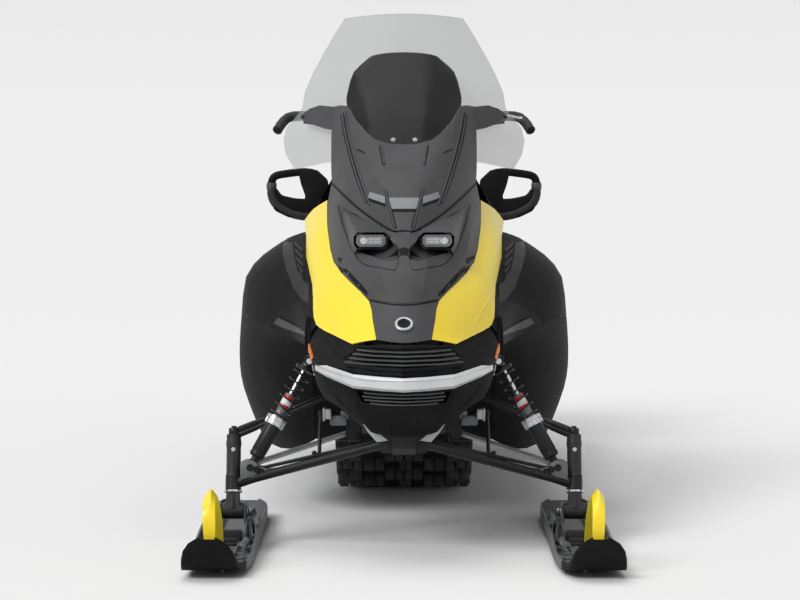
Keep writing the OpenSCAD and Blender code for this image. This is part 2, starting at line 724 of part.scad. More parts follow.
module driver_saddle() color(black)
    loft([
        arch_ring(tank_y1 + seat_gap, 112, tunnel_z, 820, 50),
        arch_ring(330, 128, tunnel_z, saddle_z - 4, 46),
        arch_ring(520, saddle_w / 2 - 14, tunnel_z, saddle_z, 40),
        arch_ring(saddle_y1, saddle_w / 2, tunnel_z, saddle_z + 16, 40)
    ]);

module passenger_saddle() color(black)
    loft([
        arch_ring(saddle_y1 + seat_gap, saddle_w / 2, tunnel_z, saddle_z + saddle_step, 40),
        arch_ring(940, saddle_w / 2 + 4, tunnel_z, saddle_z + saddle_step - 8, 40),
        arch_ring(pass_y1, saddle_w / 2 - 10, tunnel_z, saddle_z + saddle_step - 4, 40)
    ]);

module backrest() color(black)
    translate([0, pass_y1 + seat_gap, 0]) {
        side_cut(-150, 150)
            polygon([[14, 900], [44, 880], [104, 1110], [92, 1130], [66, 1134], [30, 1010]]);
        mirrored() side_cut(60, 90)
            polygon([[0, 740], [30, 740], [60, 900], [44, 1000], [36, 1000], [0, 860]]);
    }

handle_y = 850;
handle_z = 872;

handle_x = saddle_w / 2 + 8;

// Guarded grab loop on each side, on a plate beside the saddle
module passenger_handles() color(black)
    mirrored() {
        translate([handle_x, handle_y - 60, 690]) cube([10, 190, 150]);
        translate([handle_x, handle_y + 70, tunnel_z]) cube([10, 60, 100]);
        translate([handle_x, handle_y + 70, tunnel_z]) cube([24, 60, 8]);
        translate([0, handle_y, 0]) rotate([90, 0, 0]) linear_extrude(34, center = true)
            difference() {
                polygon([
                    [handle_x, 700], [handle_x + 22, 700], [286, 784], [340, 788], [416, 812], [446, 852],
                    [458, 884], [456, 912], [438, 938], [330, 952], [300, 958], [262, 930],
                    [handle_x + 22, 858], [handle_x, 850]
                ]);
                polygon([
                    [326, 856], [384, 858], [422, 876], [426, 910], [404, 925], [338, 930], [314, 898]
                ]);
            }
    }

// ---------- running boards and rear end ----------

running_y0 = -330;
running_y1 = 1120;
board_x = body_x - 18;

board_t = 3;

module running_boards() color(steel)
    mirrored() {
        w = board_x - tunnel_x - tunnel_t;
        translate([tunnel_x + tunnel_t, 0, tunnel_low])
            linear_extrude(board_t)
                polygon([
                    [0, running_y0], [w - 60, running_y0], [w, running_y0 + 90], [w, running_y1 - 320],
                    [w - 90, running_y1], [0, running_y1]
                ]);
        // Rolled outer edge, and the stud that holds the foot pod
        translate([board_x - 12, running_y0 + 90, tunnel_low - 22])
            cube([12, running_y1 - 410 - running_y0, 22 + board_t]);
        rod(pod_hold - (panel_t + seat_gap) * pod_out, pod_hold - 22 * pod_out, stud_r);
    }

pod_hold = foot_pod_grid[6][8];
pod_out = grid_normal(foot_pod_grid, 6, 8);

rack_x = saddle_w / 2 + 10;
rack_z = tunnel_z + 42;
rack_y0 = pass_y1 + 20;
rack_y1 = rear_y - 60;

module cargo_rack() color(black) {
    mirrored() {
        rod([rack_x, rack_y0, rack_z], [rack_x, rack_y1, rack_z], 12);
        for (y = [rack_y0 + 20, tunnel_y1 - 30]) translate([rack_x, y, tunnel_z]) cylinder(h = 40, r = 12);
    }
    for (k = [0:4])
        rod([-rack_x, lerp(rack_y0 + 20, rack_y1 - 12, k / 4), rack_z],
            [rack_x, lerp(rack_y0 + 20, rack_y1 - 12, k / 4), rack_z], 9);
}

bumper_r = 14;
bumper_x = tunnel_x + tunnel_t + bumper_r;
bumper_end = [tunnel_x - 30, rear_y - bumper_r - 1, 546];

module rear_bumper() color(black) {
    mirrored() {
        rod([bumper_x, tunnel_y1 - 150, 560], [bumper_x, rear_y - 60, 548], bumper_r);
        rod([bumper_x, rear_y - 60, 548], bumper_end, bumper_r);
        translate([bumper_x, rear_y - 60, 548]) sphere(r = bumper_r + 1);
        translate(bumper_end) sphere(r = bumper_r + 1);
    }
    rod(flip(bumper_end), bumper_end, bumper_r);
}

hitch_hole = [tunnel_y1 + 176, 438];
hitch_pin_r = 6.5;

module tow_hitch() color(black) {
    translate([-tunnel_x - tunnel_t, tunnel_y1, 530]) cube([2 * (tunnel_x + tunnel_t), 8, 80]);
    side_cut(-5, 5) difference() {
        polygon([
            [tunnel_y1 + 7, 590], [tunnel_y1 + 150, 476], [tunnel_y1 + 196, 452], [tunnel_y1 + 196, 422],
            [tunnel_y1 + 140, 422], [tunnel_y1 + 7, 535]
        ]);
        translate(hitch_hole) circle(r = hitch_pin_r);
    }
}

module tail_light() color("darkred")
    translate([-80, tunnel_y1 - 34, tunnel_z]) cube([160, 34, 30]);

module snow_flap() color(rubber)
    side_cut(-tunnel_x + 2, tunnel_x - 2)
        polygon([
            [tunnel_y1 - 50, tunnel_z - tunnel_t], [tunnel_y1 - 12, tunnel_z - tunnel_t],
            [tunnel_y1 - 12, tunnel_z - tunnel_t - 5], [tunnel_y1 - 36, 590], [tunnel_y1 + 2, 400],
            [tunnel_y1 + 80, 210], [tunnel_y1 + 75, 207], [tunnel_y1 - 3, 398], [tunnel_y1 - 42, 592],
            [tunnel_y1 - 50, tunnel_z - tunnel_t - 4]
        ]);

// ---------- track and skid ----------

sprocket = [-400, 405];
idler = [rear_y - 415, lug_h + belt_t + idler_r];
bow_r = 240;
bow = [60, lug_h + belt_t + bow_r];
belt_gap = 0.5;

function arc(c, r, a0, a1, n) = [
    for (k = [0:n]) let (a = lerp(a0, a1, k / n)) c + r * [cos(a), sin(a)]
];
// Direction of the outward normal of the straight run that joins two circles
function run_normal(a, ra, b, rb) = atan2(b.y - a.y, b.x - a.x) - acos((ra - rb) / norm(b - a));
top_angle = run_normal(idler, idler_r, sprocket, sprocket_r);
front_angle = 360 + run_normal(sprocket, sprocket_r, bow, bow_r);

// Belt line, at distance d outside the belt's inner face
function track_loop(d) = concat(
    arc(idler, idler_r + d, -90, top_angle, 24),
    arc(sprocket, sprocket_r + d, top_angle, front_angle, 24),
    arc(bow, bow_r + d, front_angle, 270, 6)
);

belt = track_loop(belt_t + lug_h / 2);
belt_steps = [for (i = [0:len(belt) - 1]) norm(belt[(i + 1) % len(belt)] - belt[i])];
function sum_to(v, n) = n == 0 ? 0 : v[n - 1] + sum_to(v, n - 1);
belt_sum = [for (i = [0:len(belt)]) sum_to(belt_steps, i)];
belt_len = belt_sum[len(belt)];

// Point and direction of the belt at length s around it
function belt_at(s) = let (
    i = max([for (k = [0:len(belt) - 1]) if (belt_sum[k] <= s) k]),
    a = belt[i],
    b = belt[(i + 1) % len(belt)]
) [lerp(a, b, (s - belt_sum[i]) / belt_steps[i]), atan2(b.y - a.y, b.x - a.x)];

bar_l = 20;

module track_bars()
    for (k = [0:lug_count - 1]) {
        q = belt_at(k * belt_len / lug_count);
        translate(q[0]) rotate(q[1]) square([bar_l, lug_h + 20], center = true);
    }

module track() color(rubber)
    side_cut(-track_w / 2, track_w / 2)
        difference() {
            union() {
                polygon(track_loop(belt_t));
                intersection() {
                    polygon(track_loop(belt_t + lug_h));
                    track_bars();
                }
            }
            polygon(track_loop(0));
        }

module drive_axle() color(steel)
    translate([0, sprocket.x, sprocket.y]) rotate([0, 90, 0]) {
        cylinder(h = 2 * (tunnel_x - seat_gap), r = 18, center = true);
        for (x = [-110, 110])
            translate([0, 0, x]) cylinder(h = 34, r = sprocket_r - belt_gap, center = true);
    }

rail_x = 105;
rail_t = 14;
tie_z = 100;
tie_r = 10;
axle_r = 12;
front_tie_y = 150;
mid_tie_y = 560;
rear_tie_y = 900;

module slide_rails() color(steel) {
    mirrored() translate([rail_x, 0, 0]) side_cut(-rail_t / 2, rail_t / 2)
        difference() {
            polygon(concat(
                arc(bow, bow_r - belt_gap, 222, 270, 8),
                [
                    [idler.x - 20, lug_h + belt_t + belt_gap], [idler.x + 24, idler.y - 24],
                    [idler.x + 24, idler.y + 18], [idler.x - 30, idler.y + 18], [idler.x - 120, 122],
                    [110, 122]
                ],
                [bow + (bow_r - 46) * [cos(222), sin(222)]]
            ));
            translate(idler) circle(r = axle_r + fit);
        }
    for (y = [front_tie_y, mid_tie_y, rear_tie_y])
        translate([0, y, tie_z]) rotate([0, 90, 0]) cylinder(h = 2 * rail_x, r = tie_r, center = true);
}

wheel_w = 22;
carrier_r = 66;
carrier_y = 420;
function top_run_z(y) = let (
    n = [cos(top_angle), sin(top_angle)], a = idler + idler_r * n, b = sprocket + sprocket_r * n
) lerp(a.y, b.y, (y - a.x) / (b.x - a.x));

// Rear idlers on the rails' axle, and carrier wheels under the top run on theirs
module idler_wheels() color(black) {
    translate([0, idler.x, idler.y]) rotate([0, 90, 0]) {
        cylinder(h = 330, r = axle_r, center = true);
        for (x = [-150, -60, 60, 150])
            translate([0, 0, x]) cylinder(h = wheel_w, r = idler_r - belt_gap, center = true);
    }
    translate([0, carrier_y, top_run_z(carrier_y) - carrier_r - 1]) rotate([0, 90, 0]) {
        cylinder(h = 2 * (tunnel_x - seat_gap), r = tie_r, center = true);
        for (x = [-130, 130]) translate([0, 0, x]) cylinder(h = wheel_w, r = carrier_r, center = true);
    }
}

skid_x = 75;
front_shaft = [0, -120, 330];
rear_shaft = [0, 640, 292];

// Arm from an eye on a rail's cross tube up to a shaft across the tunnel
module skid_arm(x, y, shaft, r) {
    difference() {
        union() {
            rod([x, y, tie_z], [x, shaft.y, shaft.z], r);
            translate([x, y, tie_z]) rotate([0, 90, 0]) cylinder(h = 30, r = tie_r + 8, center = true);
        }
        translate([x, y, tie_z]) rotate([0, 90, 0]) cylinder(h = 60, r = tie_r + fit, center = true);
    }
}

module skid_arms() color(black) {
    for (s = [front_shaft, rear_shaft])
        translate(s) rotate([0, 90, 0]) cylinder(h = 2 * (tunnel_x - seat_gap), r = 13, center = true);
    for (x = [-skid_x, skid_x]) {
        skid_arm(x, front_tie_y, front_shaft, 11);
        skid_arm(x, rear_tie_y, rear_shaft, 11);
    }
    skid_arm(0, front_tie_y, front_shaft, 16);
    skid_arm(0, mid_tie_y, rear_shaft, 18);
}

// ---------- front suspension ----------

// The leg turns a little inboard of the ski's middle
ski_shift = 10;
kingpin = [half_stance - ski_shift, ski_bolt_y, 95];
eye_s = 72;
eye_h = 34;
eye_r = 21;
column_top = 202;
link_s = 211;
link_eye_h = 16;
stud_pin_r = kingpin_r - 4;
steer_s = 193;
steer_arm_t = 14;
steer_pin_r = 6;
boss_l = 58;

module at_kingpin(s = 0) {
    translate(kingpin) rotate([-caster, 0, 0]) translate([0, 0, s]) children();
}
function kingpin_pt(s, back = 0) =
    kingpin + s * [0, sin(caster), cos(caster)] + back * [0, cos(caster), -sin(caster)];

shock_foot = kingpin + [-46, 5, 116];

module lower_arms() color(black)
    mirrored() difference() {
        union() {
            at_kingpin(eye_s) cylinder(h = eye_h, r = eye_r, center = true);
            rod(kingpin_pt(eye_s), arm_front, 12);
            rod(shock_foot + [0, 12, 2], arm_rear, 7.5);
            for (p = [arm_front, arm_rear])
                translate(p) rotate([90, 0, 0]) cylinder(h = bush_l, r = bush_r, center = true);
            // Post that carries the shock's foot
            rod(lerp(kingpin_pt(eye_s), arm_front, 0.13), shock_foot, 13);
            translate(shock_foot) rotate([90, 0, 0]) cylinder(h = 30, r = 15, center = true);
        }
        at_kingpin(eye_s) cylinder(h = eye_h + 30, r = kingpin_r + fit, center = true);
        at_kingpin(eye_s + eye_h / 2) cylinder(h = 40, r = 27);
        at_kingpin(eye_s - eye_h / 2 - 40) cylinder(h = 40, r = 32);
        for (p = [arm_front, arm_rear])
            translate(p) rotate([90, 0, 0]) cylinder(h = bush_l + 10, r = pin_r + fit, center = true);
    }

module upper_links() color(black)
    mirrored() difference() {
        union() {
            at_kingpin(link_s) cylinder(h = link_eye_h, r = 14, center = true);
            rod(kingpin_pt(link_s), link_in, 6);
            translate(link_in) rotate([90, 0, 0]) cylinder(h = 30, r = 13, center = true);
        }
        at_kingpin(link_s) cylinder(h = 40, r = stud_pin_r + fit, center = true);
        at_kingpin(link_s - link_eye_h / 2 - 20) cylinder(h = 20, r = 26);
        translate(link_in) rotate([90, 0, 0]) cylinder(h = 40, r = pin_r + fit, center = true);
    }

function on_shock(k) = lerp(shock_foot, shock_top, k);

module front_shocks() color(black)
    mirrored() difference() {
        union() {
            rod(on_shock(0.03), on_shock(0.1), 10);
            rod(on_shock(0.09), on_shock(0.43), 20.5);
            rod(on_shock(0.4), on_shock(0.46), 28);
            rod(on_shock(0.44), on_shock(0.68), 14);
            rod(on_shock(0.66), on_shock(0.98), 6);
            rod(on_shock(0.91), on_shock(0.94), 26);
            translate(shock_top) rotate([90, 0, 0]) cylinder(h = 28, r = 13, center = true);
        }
        translate(shock_top) rotate([90, 0, 0]) cylinder(h = 40, r = pin_r + fit, center = true);
        translate(shock_foot) rotate([90, 0, 0]) cylinder(h = 60, r = 15 + seat_gap, center = true);
    }

spring_turns = 6;
spring_r = 24;
wire_r = 3.5;

// Open coil between the shock's two perches
module front_springs() color(rubber)
    mirrored() {
        a = on_shock(0.46) + unit(shock_top - shock_foot) * (wire_r + seat_gap);
        b = on_shock(0.91) - unit(shock_top - shock_foot) * (wire_r + seat_gap);
        d = unit(b - a);
        s = unit(cross(d, [0, 1, 0]));
        u = cross(s, d);
        steps = spring_turns * 10;
        loft(tube_rings([
            for (k = [0:steps])
                lerp(a, b, k / steps) + spring_r * (cos(k * 36) * s + sin(k * 36) * u)
        ], wire_r, 6, d));
    }

// ---------- steering ----------

module ski_leg(side) color(black)
    mirror([side < 0 ? 1 : 0, 0, 0])
        difference() {
            at_kingpin() {
                rotate([0, 90, 0]) cylinder(h = boss_l, r = 21, center = true);
                translate([-17, -20, 0]) cube([34, 40, eye_s - eye_h / 2 - 1]);
                cylinder(h = link_s + 14, r = stud_pin_r);
                translate([0, 0, 40]) cylinder(h = column_top - 40, r = kingpin_r);
                translate([0, 0, eye_s + eye_h / 2 + 1]) {
                    cylinder(h = column_top - eye_s - eye_h / 2 - 1, r = 19);
                    translate([-13, 0, 0]) cube([26, 22, column_top - eye_s - eye_h / 2 - 1]);
                }
                translate([-10, 0, steer_s - steer_arm_t / 2]) cube([20, steer_arm, steer_arm_t]);
                translate([0, steer_arm, steer_s - steer_arm_t / 2]) {
                    cylinder(h = steer_arm_t, r = 13);
                    cylinder(h = 34, r = steer_pin_r);
                }
            }
            at_kingpin() rotate([0, 90, 0]) cylinder(h = 80, r = ski_bolt_r + fit, center = true);
        }

tie_eye_h = 18;
tie_eye = kingpin_pt(steer_s + steer_arm_t / 2 + 1 + tie_eye_h / 2, steer_arm);
tie_in = tie_eye + [-255, 52, 105];

// Tie rod: its outer eye turns on the leg's steering arm and its inner ball hangs free
module tie_rod(side) color(black)
    mirror([side < 0 ? 1 : 0, 0, 0])
        difference() {
            union() {
                translate(tie_eye) rotate([-caster, 0, 0]) cylinder(h = tie_eye_h, r = 13, center = true);
                rod(tie_eye, tie_in, 6);
                translate(tie_in) sphere(r = 10);
            }
            translate(tie_eye)
                rotate([-caster, 0, 0]) cylinder(h = 40, r = steer_pin_r + fit, center = true);
        }

bar_half = [
    [0, 0, 0], [32, 0, 0], [64, 0, 0], [98, 0, 8], [150, 0, 34], [230, 14, 38], [330, 30, 38], [360, 12, 24],
    [bar_w / 2 - 6, -26, -4]
];

bar_path = [for (p = bar_half) post_top + p];
bar_end = len(bar_path) - 1;
grip_path = concat(
    [lerp(bar_path[bar_end - 3], bar_path[bar_end - 2], 0.15)], slice(bar_path, bar_end - 2, bar_end)
);

module handlebar() color(black) {
    loft(tube_rings(smooth_row(both_halves([bar_path])[0], 3), bar_r, 14));
    mirrored() loft(tube_rings(smooth_row(grip_path, 3), bar_r + 5, 14));
}

module steering_post() color(black)
    difference() {
        union() {
            rod(on_post(645), on_post(post_top.z - 32), post_r);
            along_post(post_top.z) {
                translate([-30, -20, -54]) cube([60, 40, 24]);
                for (x = [-18, 18]) translate([x - 12, -15, -54]) cube([24, 30, 54]);
            }
        }
        translate(post_top) rotate([0, 90, 0]) cylinder(h = 110, r = bar_r + seat_gap, center = true);
    }

// ---------- skis ----------

// Station ahead of or behind the bolt, height of the sole, share of the width, height of the edge
ski_stations = [
    [-555, 100, 0.3, 4, 18], [-549, 84, 0.6, 5, 18], [-538, 62, 0.78, 6, 18], [-518, 38, 0.87, 7, 17],
    [-484, 20, 0.93, 9, 14], [-430, 12, 0.98, 14, 6], [-330, 10, 1, 20, -1], [-220, 10, 1, 28, -2],
    [0, 10, 1, 36, -2], [240, 10, 1, 34, -2], [ski_l - 650, 10, 0.98, 24, -2],
    [ski_l - 590, 24, 0.9, 12, -2], [ski_l - 555, 38, 0.66, 4, -2]
];
edge_t = 5;
keel_x = 14;
keel_end = 11;

function ski_ring(s) = let (w = s[2] * ski_w / 2, z = s[1], low = z > keel_end ? z - 1 : 0) [
    for (p = [
        [-w, z], [-keel_x * s[2], z], [(3 - keel_x) * s[2], low], [(keel_x - 3) * s[2], low],
        [keel_x * s[2], z], [w, z], [w, z + sole_t + s[3]], [w - edge_t, z + sole_t + s[3]],
        [w - edge_t - 1, z + sole_t],
        [edge_t + 1 - w, z + sole_t], [edge_t - w, z + sole_t + s[3]], [-w, z + sole_t + s[3]]
    ]) [half_stance + s[4] + p.x, kingpin.y + s[0], p.y]
];
ski_caps = [[0, 1, 9], [1, 4, 8, 9], [4, 5, 8], [1, 2, 3, 4], [5, 6, 7, 8], [9, 10, 11, 0]];
function ski_top(y) = lookup(y - kingpin.y, [for (s = ski_stations) [s[0], s[1] + sole_t]]);

ear_in = boss_l / 2 + 1.5;
ear_w = 8;
ski_floor = 10 + sole_t;

module ski(side) color(graphite)
    mirror([side < 0 ? 1 : 0, 0, 0]) {
        loft([for (s = ski_stations) ski_ring(s)], ski_caps);
        // Saddle of two ears with the ski bolt across them
        translate([kingpin.x, kingpin.y, 0]) {
            for (x = [-ear_in - ear_w, ear_in])
                translate([x, 0, 0]) side_cut(0, ear_w) {
                    polygon([[-90, ski_floor - 2], [90, ski_floor - 2], [24, kingpin.z], [-24, kingpin.z]]);
                    translate([0, kingpin.z]) circle(r = 24);
                }
            translate([0, 0, kingpin.z]) rotate([0, 90, 0])
                cylinder(h = 2 * (ear_in + ear_w) + 10, r = ski_bolt_r, center = true);
        }
    }

loop_t = 9;
loop_x = half_stance + 18;
loop_y0 = kingpin.y - 470;
loop_y1 = kingpin.y - 165;

// Closed section of the hand loop, upright at its two feet
function loop_ring(p, d) = let (u = unit([0, -d.z, d.y]) * loop_t / 2, peak = max(0, p.z - 150) / 110) [
    for (q = [[-1, -1], [-1, 1], [1, 1], [1, -1]])
        p + [q[0] * (1 - (q[1] > 0 ? 1.4 * peak : 0.4 * peak)) * loop_w / 2, 0, 0] - q[1] * u
];
loop_path = smooth_row([
    [loop_x, loop_y0, ski_top(loop_y0 - loop_t / 2) + seat_gap],
    [loop_x, loop_y0 - 4, ski_top(loop_y0) + 50],
    [loop_x + 2, loop_y0 + 20, 170], [loop_x + 3, loop_y0 + 86, 204], [loop_x + 2, loop_y0 + 176, 172],
    [loop_x, loop_y0 + 256, 100], [loop_x, loop_y1, ski_top(loop_y1) + seat_gap]
], 3);

module ski_loop(side) color(yellow)
    mirror([side < 0 ? 1 : 0, 0, 0]) {
        e = len(loop_path) - 1;
        loft([
            for (i = [0:e])
                loop_ring(loop_path[i], i == 0 ? [0, 0, 1] : i == e ? [0, 0, -1] :
                    unit(loop_path[i + 1] - loop_path[i - 1]))
        ]);
    }

bulkhead();
engine();
tunnel();
upper_frame();
belly_pan();
front_grille();
front_bumper();
nose_panel();
headlight_fascia();
headlight_bezels();
headlights();
hood();
hood_wings();
side_hoods();
side_panels();
foot_pods();
side_markers();
windshield();
tinted_screen();
console();
gauge();
fuel_tank();
fuel_cap();
driver_saddle();
passenger_saddle();
backrest();
passenger_handles();
running_boards();
cargo_rack();
rear_bumper();
tow_hitch();
tail_light();
snow_flap();
track();
drive_axle();
slide_rails();
idler_wheels();
skid_arms();
lower_arms();
upper_links();
front_shocks();
front_springs();
handlebar();
steering_post();
tie_rod(1);  // tie_rod_left
tie_rod(-1);  // tie_rod_right
ski_leg(1);  // ski_leg_left
ski_leg(-1);  // ski_leg_right
ski(1);  // ski_left
ski(-1);  // ski_right
ski_loop(1);  // ski_loop_left
ski_loop(-1);  // ski_loop_right
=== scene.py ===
"""Looks of a two-seat utility snowmobile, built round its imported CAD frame.

Sizes in this script are written in millimetres and turned to metres where a mesh is made.
+X is the rider's left, the machine faces -Y, and the ground is Z = 0.
"""

import math

import bmesh
import bpy
from mathutils import Matrix, Vector
from mathutils.bvhtree import BVHTree


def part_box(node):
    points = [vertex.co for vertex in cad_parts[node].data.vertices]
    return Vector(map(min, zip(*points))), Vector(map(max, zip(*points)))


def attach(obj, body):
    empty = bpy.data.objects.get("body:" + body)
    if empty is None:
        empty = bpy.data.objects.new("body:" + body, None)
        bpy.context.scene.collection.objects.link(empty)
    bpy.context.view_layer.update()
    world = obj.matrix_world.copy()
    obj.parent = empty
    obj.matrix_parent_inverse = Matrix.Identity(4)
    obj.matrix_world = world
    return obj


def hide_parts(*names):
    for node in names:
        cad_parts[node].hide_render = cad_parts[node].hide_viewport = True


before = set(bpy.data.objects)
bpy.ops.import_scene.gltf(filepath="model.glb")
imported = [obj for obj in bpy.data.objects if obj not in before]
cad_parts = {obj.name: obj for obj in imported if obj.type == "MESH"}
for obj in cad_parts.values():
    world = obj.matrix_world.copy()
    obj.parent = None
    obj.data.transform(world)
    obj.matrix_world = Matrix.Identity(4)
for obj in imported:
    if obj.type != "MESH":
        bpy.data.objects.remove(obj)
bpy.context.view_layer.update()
MM = 0.001


def placed(name, data):
    """A new object in the scene, at the origin."""
    thing = bpy.data.objects.new(name, data)
    bpy.context.scene.collection.objects.link(thing)
    return thing


# ---------- camera ----------

LENS_MM = 120.7
EYE_POINT = (0, -8.09, 1.14)
TILT_DOWN, TURN = 3.99, 0.085  # degrees
camera = bpy.data.cameras.new("camera")
camera.sensor_width = 36
camera.lens = LENS_MM
camera_object = placed("camera", camera)
camera_object.location = EYE_POINT
camera_object.rotation_euler = (math.radians(90 - TILT_DOWN), 0, math.radians(TURN))
bpy.context.scene.camera = camera_object

# ---------- materials ----------


def colour(hex_value):
    """An sRGB hex colour as the linear numbers that the sockets take."""
    parts = [int(hex_value[i:i + 2], 16) / 255 for i in (1, 3, 5)]
    return (*[p / 12.92 if p <= 0.04045 else ((p + 0.055) / 1.055) ** 2.4 for p in parts], 1)


def add(tree, kind, settings=None, **links):
    """A node with its settings, and links into its sockets by name, or by place as In0, In1 and In2."""
    node = tree.nodes.new("ShaderNode" + kind)
    for name, value in (settings or {}).items():
        if hasattr(node, name):
            setattr(node, name, value)
        else:
            node.inputs[name].default_value = value
    for name, source in links.items():
        socket = int(name[2:]) if name in ("In0", "In1", "In2") else name.replace("_", " ")
        tree.links.new(source, node.inputs[socket])
    return node


def finish_of(name, base, rough, metallic=0.0, **sockets):
    """A new material and its shader, with plain values on the shader's own sockets."""
    made = bpy.data.materials.new(name)
    made.use_nodes = True
    shader = made.node_tree.nodes["Principled BSDF"]
    shader.inputs["Base Color"].default_value = colour(base)
    shader.inputs["Roughness"].default_value = rough
    shader.inputs["Metallic"].default_value = metallic
    for socket, value in sockets.items():
        shader.inputs[socket.replace("_", " ")].default_value = value
    return made


def grain(made, size_mm, height_mm, tones, rough, blotch_mm=90):
    """Moulded or painted grain: a fine bump, a slow drift between two tones, and an uneven gloss."""
    tree = made.node_tree
    shader = tree.nodes["Principled BSDF"]
    place = add(tree, "TexCoord").outputs["Object"]
    fine = add(tree, "TexNoise", {"Scale": 1000 / size_mm, "Detail": 3.0}, Vector=place)
    slow = add(tree, "TexNoise", {"Scale": 1000 / blotch_mm, "Detail": 2.0}, Vector=place)
    drift = add(tree, "MapRange", {"From Min": 0.35, "From Max": 0.65}, Value=slow.outputs["Fac"])
    mixed = add(tree, "MixRGB", {"Color1": colour(tones[0]), "Color2": colour(tones[1])},
                Fac=drift.outputs["Result"])
    gloss = add(tree, "MapRange", {"To Min": rough[0], "To Max": rough[1]}, Value=fine.outputs["Fac"])
    bump = add(tree, "Bump", {"Strength": 0.6, "Distance": height_mm * MM}, Height=fine.outputs["Fac"])
    tree.links.new(mixed.outputs["Color"], shader.inputs["Base Color"])
    tree.links.new(gloss.outputs["Result"], shader.inputs["Roughness"])
    tree.links.new(bump.outputs["Normal"], shader.inputs["Normal"])
    return made


# Moulded polypropylene with a fine spark-eroded grain: the hood, the headlight panel and the nose
graphite = grain(finish_of("graphite_moulded_plastic", "#48484a", 0.45, IOR=1.5, Specular_IOR_Level=0.15),
                 5, 0.25, ("#464647", "#4c4c4e"), (0.4, 0.5))
# The same plastic in black, with a coarser and duller grain: side panels, pods and belly
black_plastic = grain(finish_of("black_moulded_plastic", "#1b1b1c", 0.5, IOR=1.5, Specular_IOR_Level=0.05),
                      6, 0.35, ("#18181a", "#1d1d1e"), (0.5, 0.64))
# Smoother black plastic of the raised bands and fins
black_band = grain(finish_of("black_band_plastic", "#2a2a2b", 0.45, IOR=1.5, Specular_IOR_Level=0.15),
                   6, 0.2, ("#272728", "#2e2e2f"), (0.42, 0.54))
# Unpainted black plastic that hardly shines: grilles, louvres and joints, and also painted shade in
# recesses, folds, corners and steps
deep_black = grain(finish_of("black_plastic_and_painted_shade", "#0c0c0d", 0.6, IOR=1.46, Specular_IOR_Level=0.15),
                   5, 0.3, ("#0b0b0c", "#0f0f10"), (0.52, 0.66))
# Mould-in-colour gloss plastic with a clear top coat, faintly uneven as moulded sheets are
yellow = grain(finish_of("yellow_gloss_plastic", "#ffe024", 0.3, IOR=1.5, Coat_Weight=0.2,
                         Coat_Roughness=0.12),
               40, 0.1, ("#ffdf20", "#ffe430"), (0.26, 0.34), 300)
# Cast and powder-coated aluminium bumper: a satin silver with a very fine orange peel
silver_coat = grain(finish_of("silver_powder_coat", "#d2d3d5", 0.34, 0.55),
                    7, 0.12, ("#cfd0d2", "#dadbdc"), (0.28, 0.38))
# Painted silver-grey trim of the hood's inlay
inlay_grey = grain(finish_of("silver_grey_inlay", "#85888a", 0.4, Specular_IOR_Level=0.2), 7, 0.1,
                   ("#808386", "#8b8e90"), (0.36, 0.46))
# Powder-coated steel tube: slightly wavy satin black
black_coat = grain(finish_of("black_powder_coat", "#1a1a1b", 0.36, IOR=1.5, Specular_IOR_Level=0.25),
                   8, 0.2, ("#18181a", "#202021"), (0.3, 0.42))
# Hard-chromed or zinc-plated steel: rods, shafts and bolt heads
bright_steel = grain(finish_of("bright_plated_steel", "#c9cbcd", 0.24, 1.0),
                     12, 0.05, ("#c2c4c6", "#d0d2d3"), (0.18, 0.3))
# Silver-painted tube and plate of the suspension: satin, hardly mirror-like
silver_tube = grain(finish_of("silver_painted_tube", "#a9abad", 0.36, 0.35), 8, 0.15,
                    ("#a2a4a6", "#b4b6b8"), (0.3, 0.42))
# Grey filled nylon of the ski decks, a little chalky from use
deck_grey = grain(finish_of("grey_deck_nylon", "#606163", 0.5, IOR=1.5, Specular_IOR_Level=0.2),
                  7, 0.4, ("#595a5c", "#696a6c"), (0.44, 0.6))
# Rolled aluminium sheet with the marks of handling: tunnel, running boards, rails
sheet_metal = grain(finish_of("rolled_aluminium", "#9b9ea1", 0.42, 1.0),
                    9, 0.1, ("#8f9295", "#a6a9ab"), (0.34, 0.5), 140)
# Die-cast grey aluminium: collars, brackets and the engine
cast_metal = grain(finish_of("cast_aluminium", "#6e7073", 0.5, 0.8),
                   4, 0.4, ("#67696c", "#77797c"), (0.44, 0.6))
# Glass-filled nylon of the legs, skis and wheels: dark grey and lightly mottled
grey_nylon = grain(finish_of("grey_filled_nylon", "#3b3c3d", 0.5, IOR=1.5),
                   6, 0.35, ("#363738", "#434445"), (0.42, 0.58))
# The same nylon, dyed black, on the steering legs
grey_black = grain(finish_of("black_filled_nylon", "#262627", 0.48, IOR=1.5, Specular_IOR_Level=0.3),
                   6, 0.35, ("#232324", "#2c2c2d"), (0.4, 0.55))
# Moulded rubber with cord lines just under the skin: track, flap and grips
rubber = grain(finish_of("moulded_rubber", "#1b1b1b", 0.68, IOR=1.5),
               7, 0.5, ("#171717", "#222222"), (0.6, 0.78))
# Worn rubber of the track's blocks: greyer, dusty and rough on the edges
block_rubber = grain(finish_of("worn_track_rubber", "#3a3a3a", 0.6, IOR=1.5, Specular_IOR_Level=0.4),
                     9, 0.6, ("#2e2e2e", "#464646"), (0.5, 0.7), 30)
# Stitched marine vinyl: a soft leather-like grain with a low sheen
vinyl = grain(finish_of("stitched_vinyl", "#1d1d1e", 0.5, IOR=1.48, Sheen_Weight=0.15),
              7, 0.6, ("#1a1a1b", "#242425"), (0.44, 0.6))
# Dyed acrylic of the reflectors and lamps
amber = grain(finish_of("amber_acrylic", "#dc7508", 0.3, IOR=1.49, Specular_IOR_Level=0.2),
              6, 0.4, ("#d86f06", "#e27f12"), (0.25, 0.38))
red_lens = grain(finish_of("red_acrylic", "#8e0b0f", 0.16, IOR=1.49, Coat_Weight=0.4),
                 6, 0.4, ("#860a0d", "#a01218"), (0.12, 0.22))
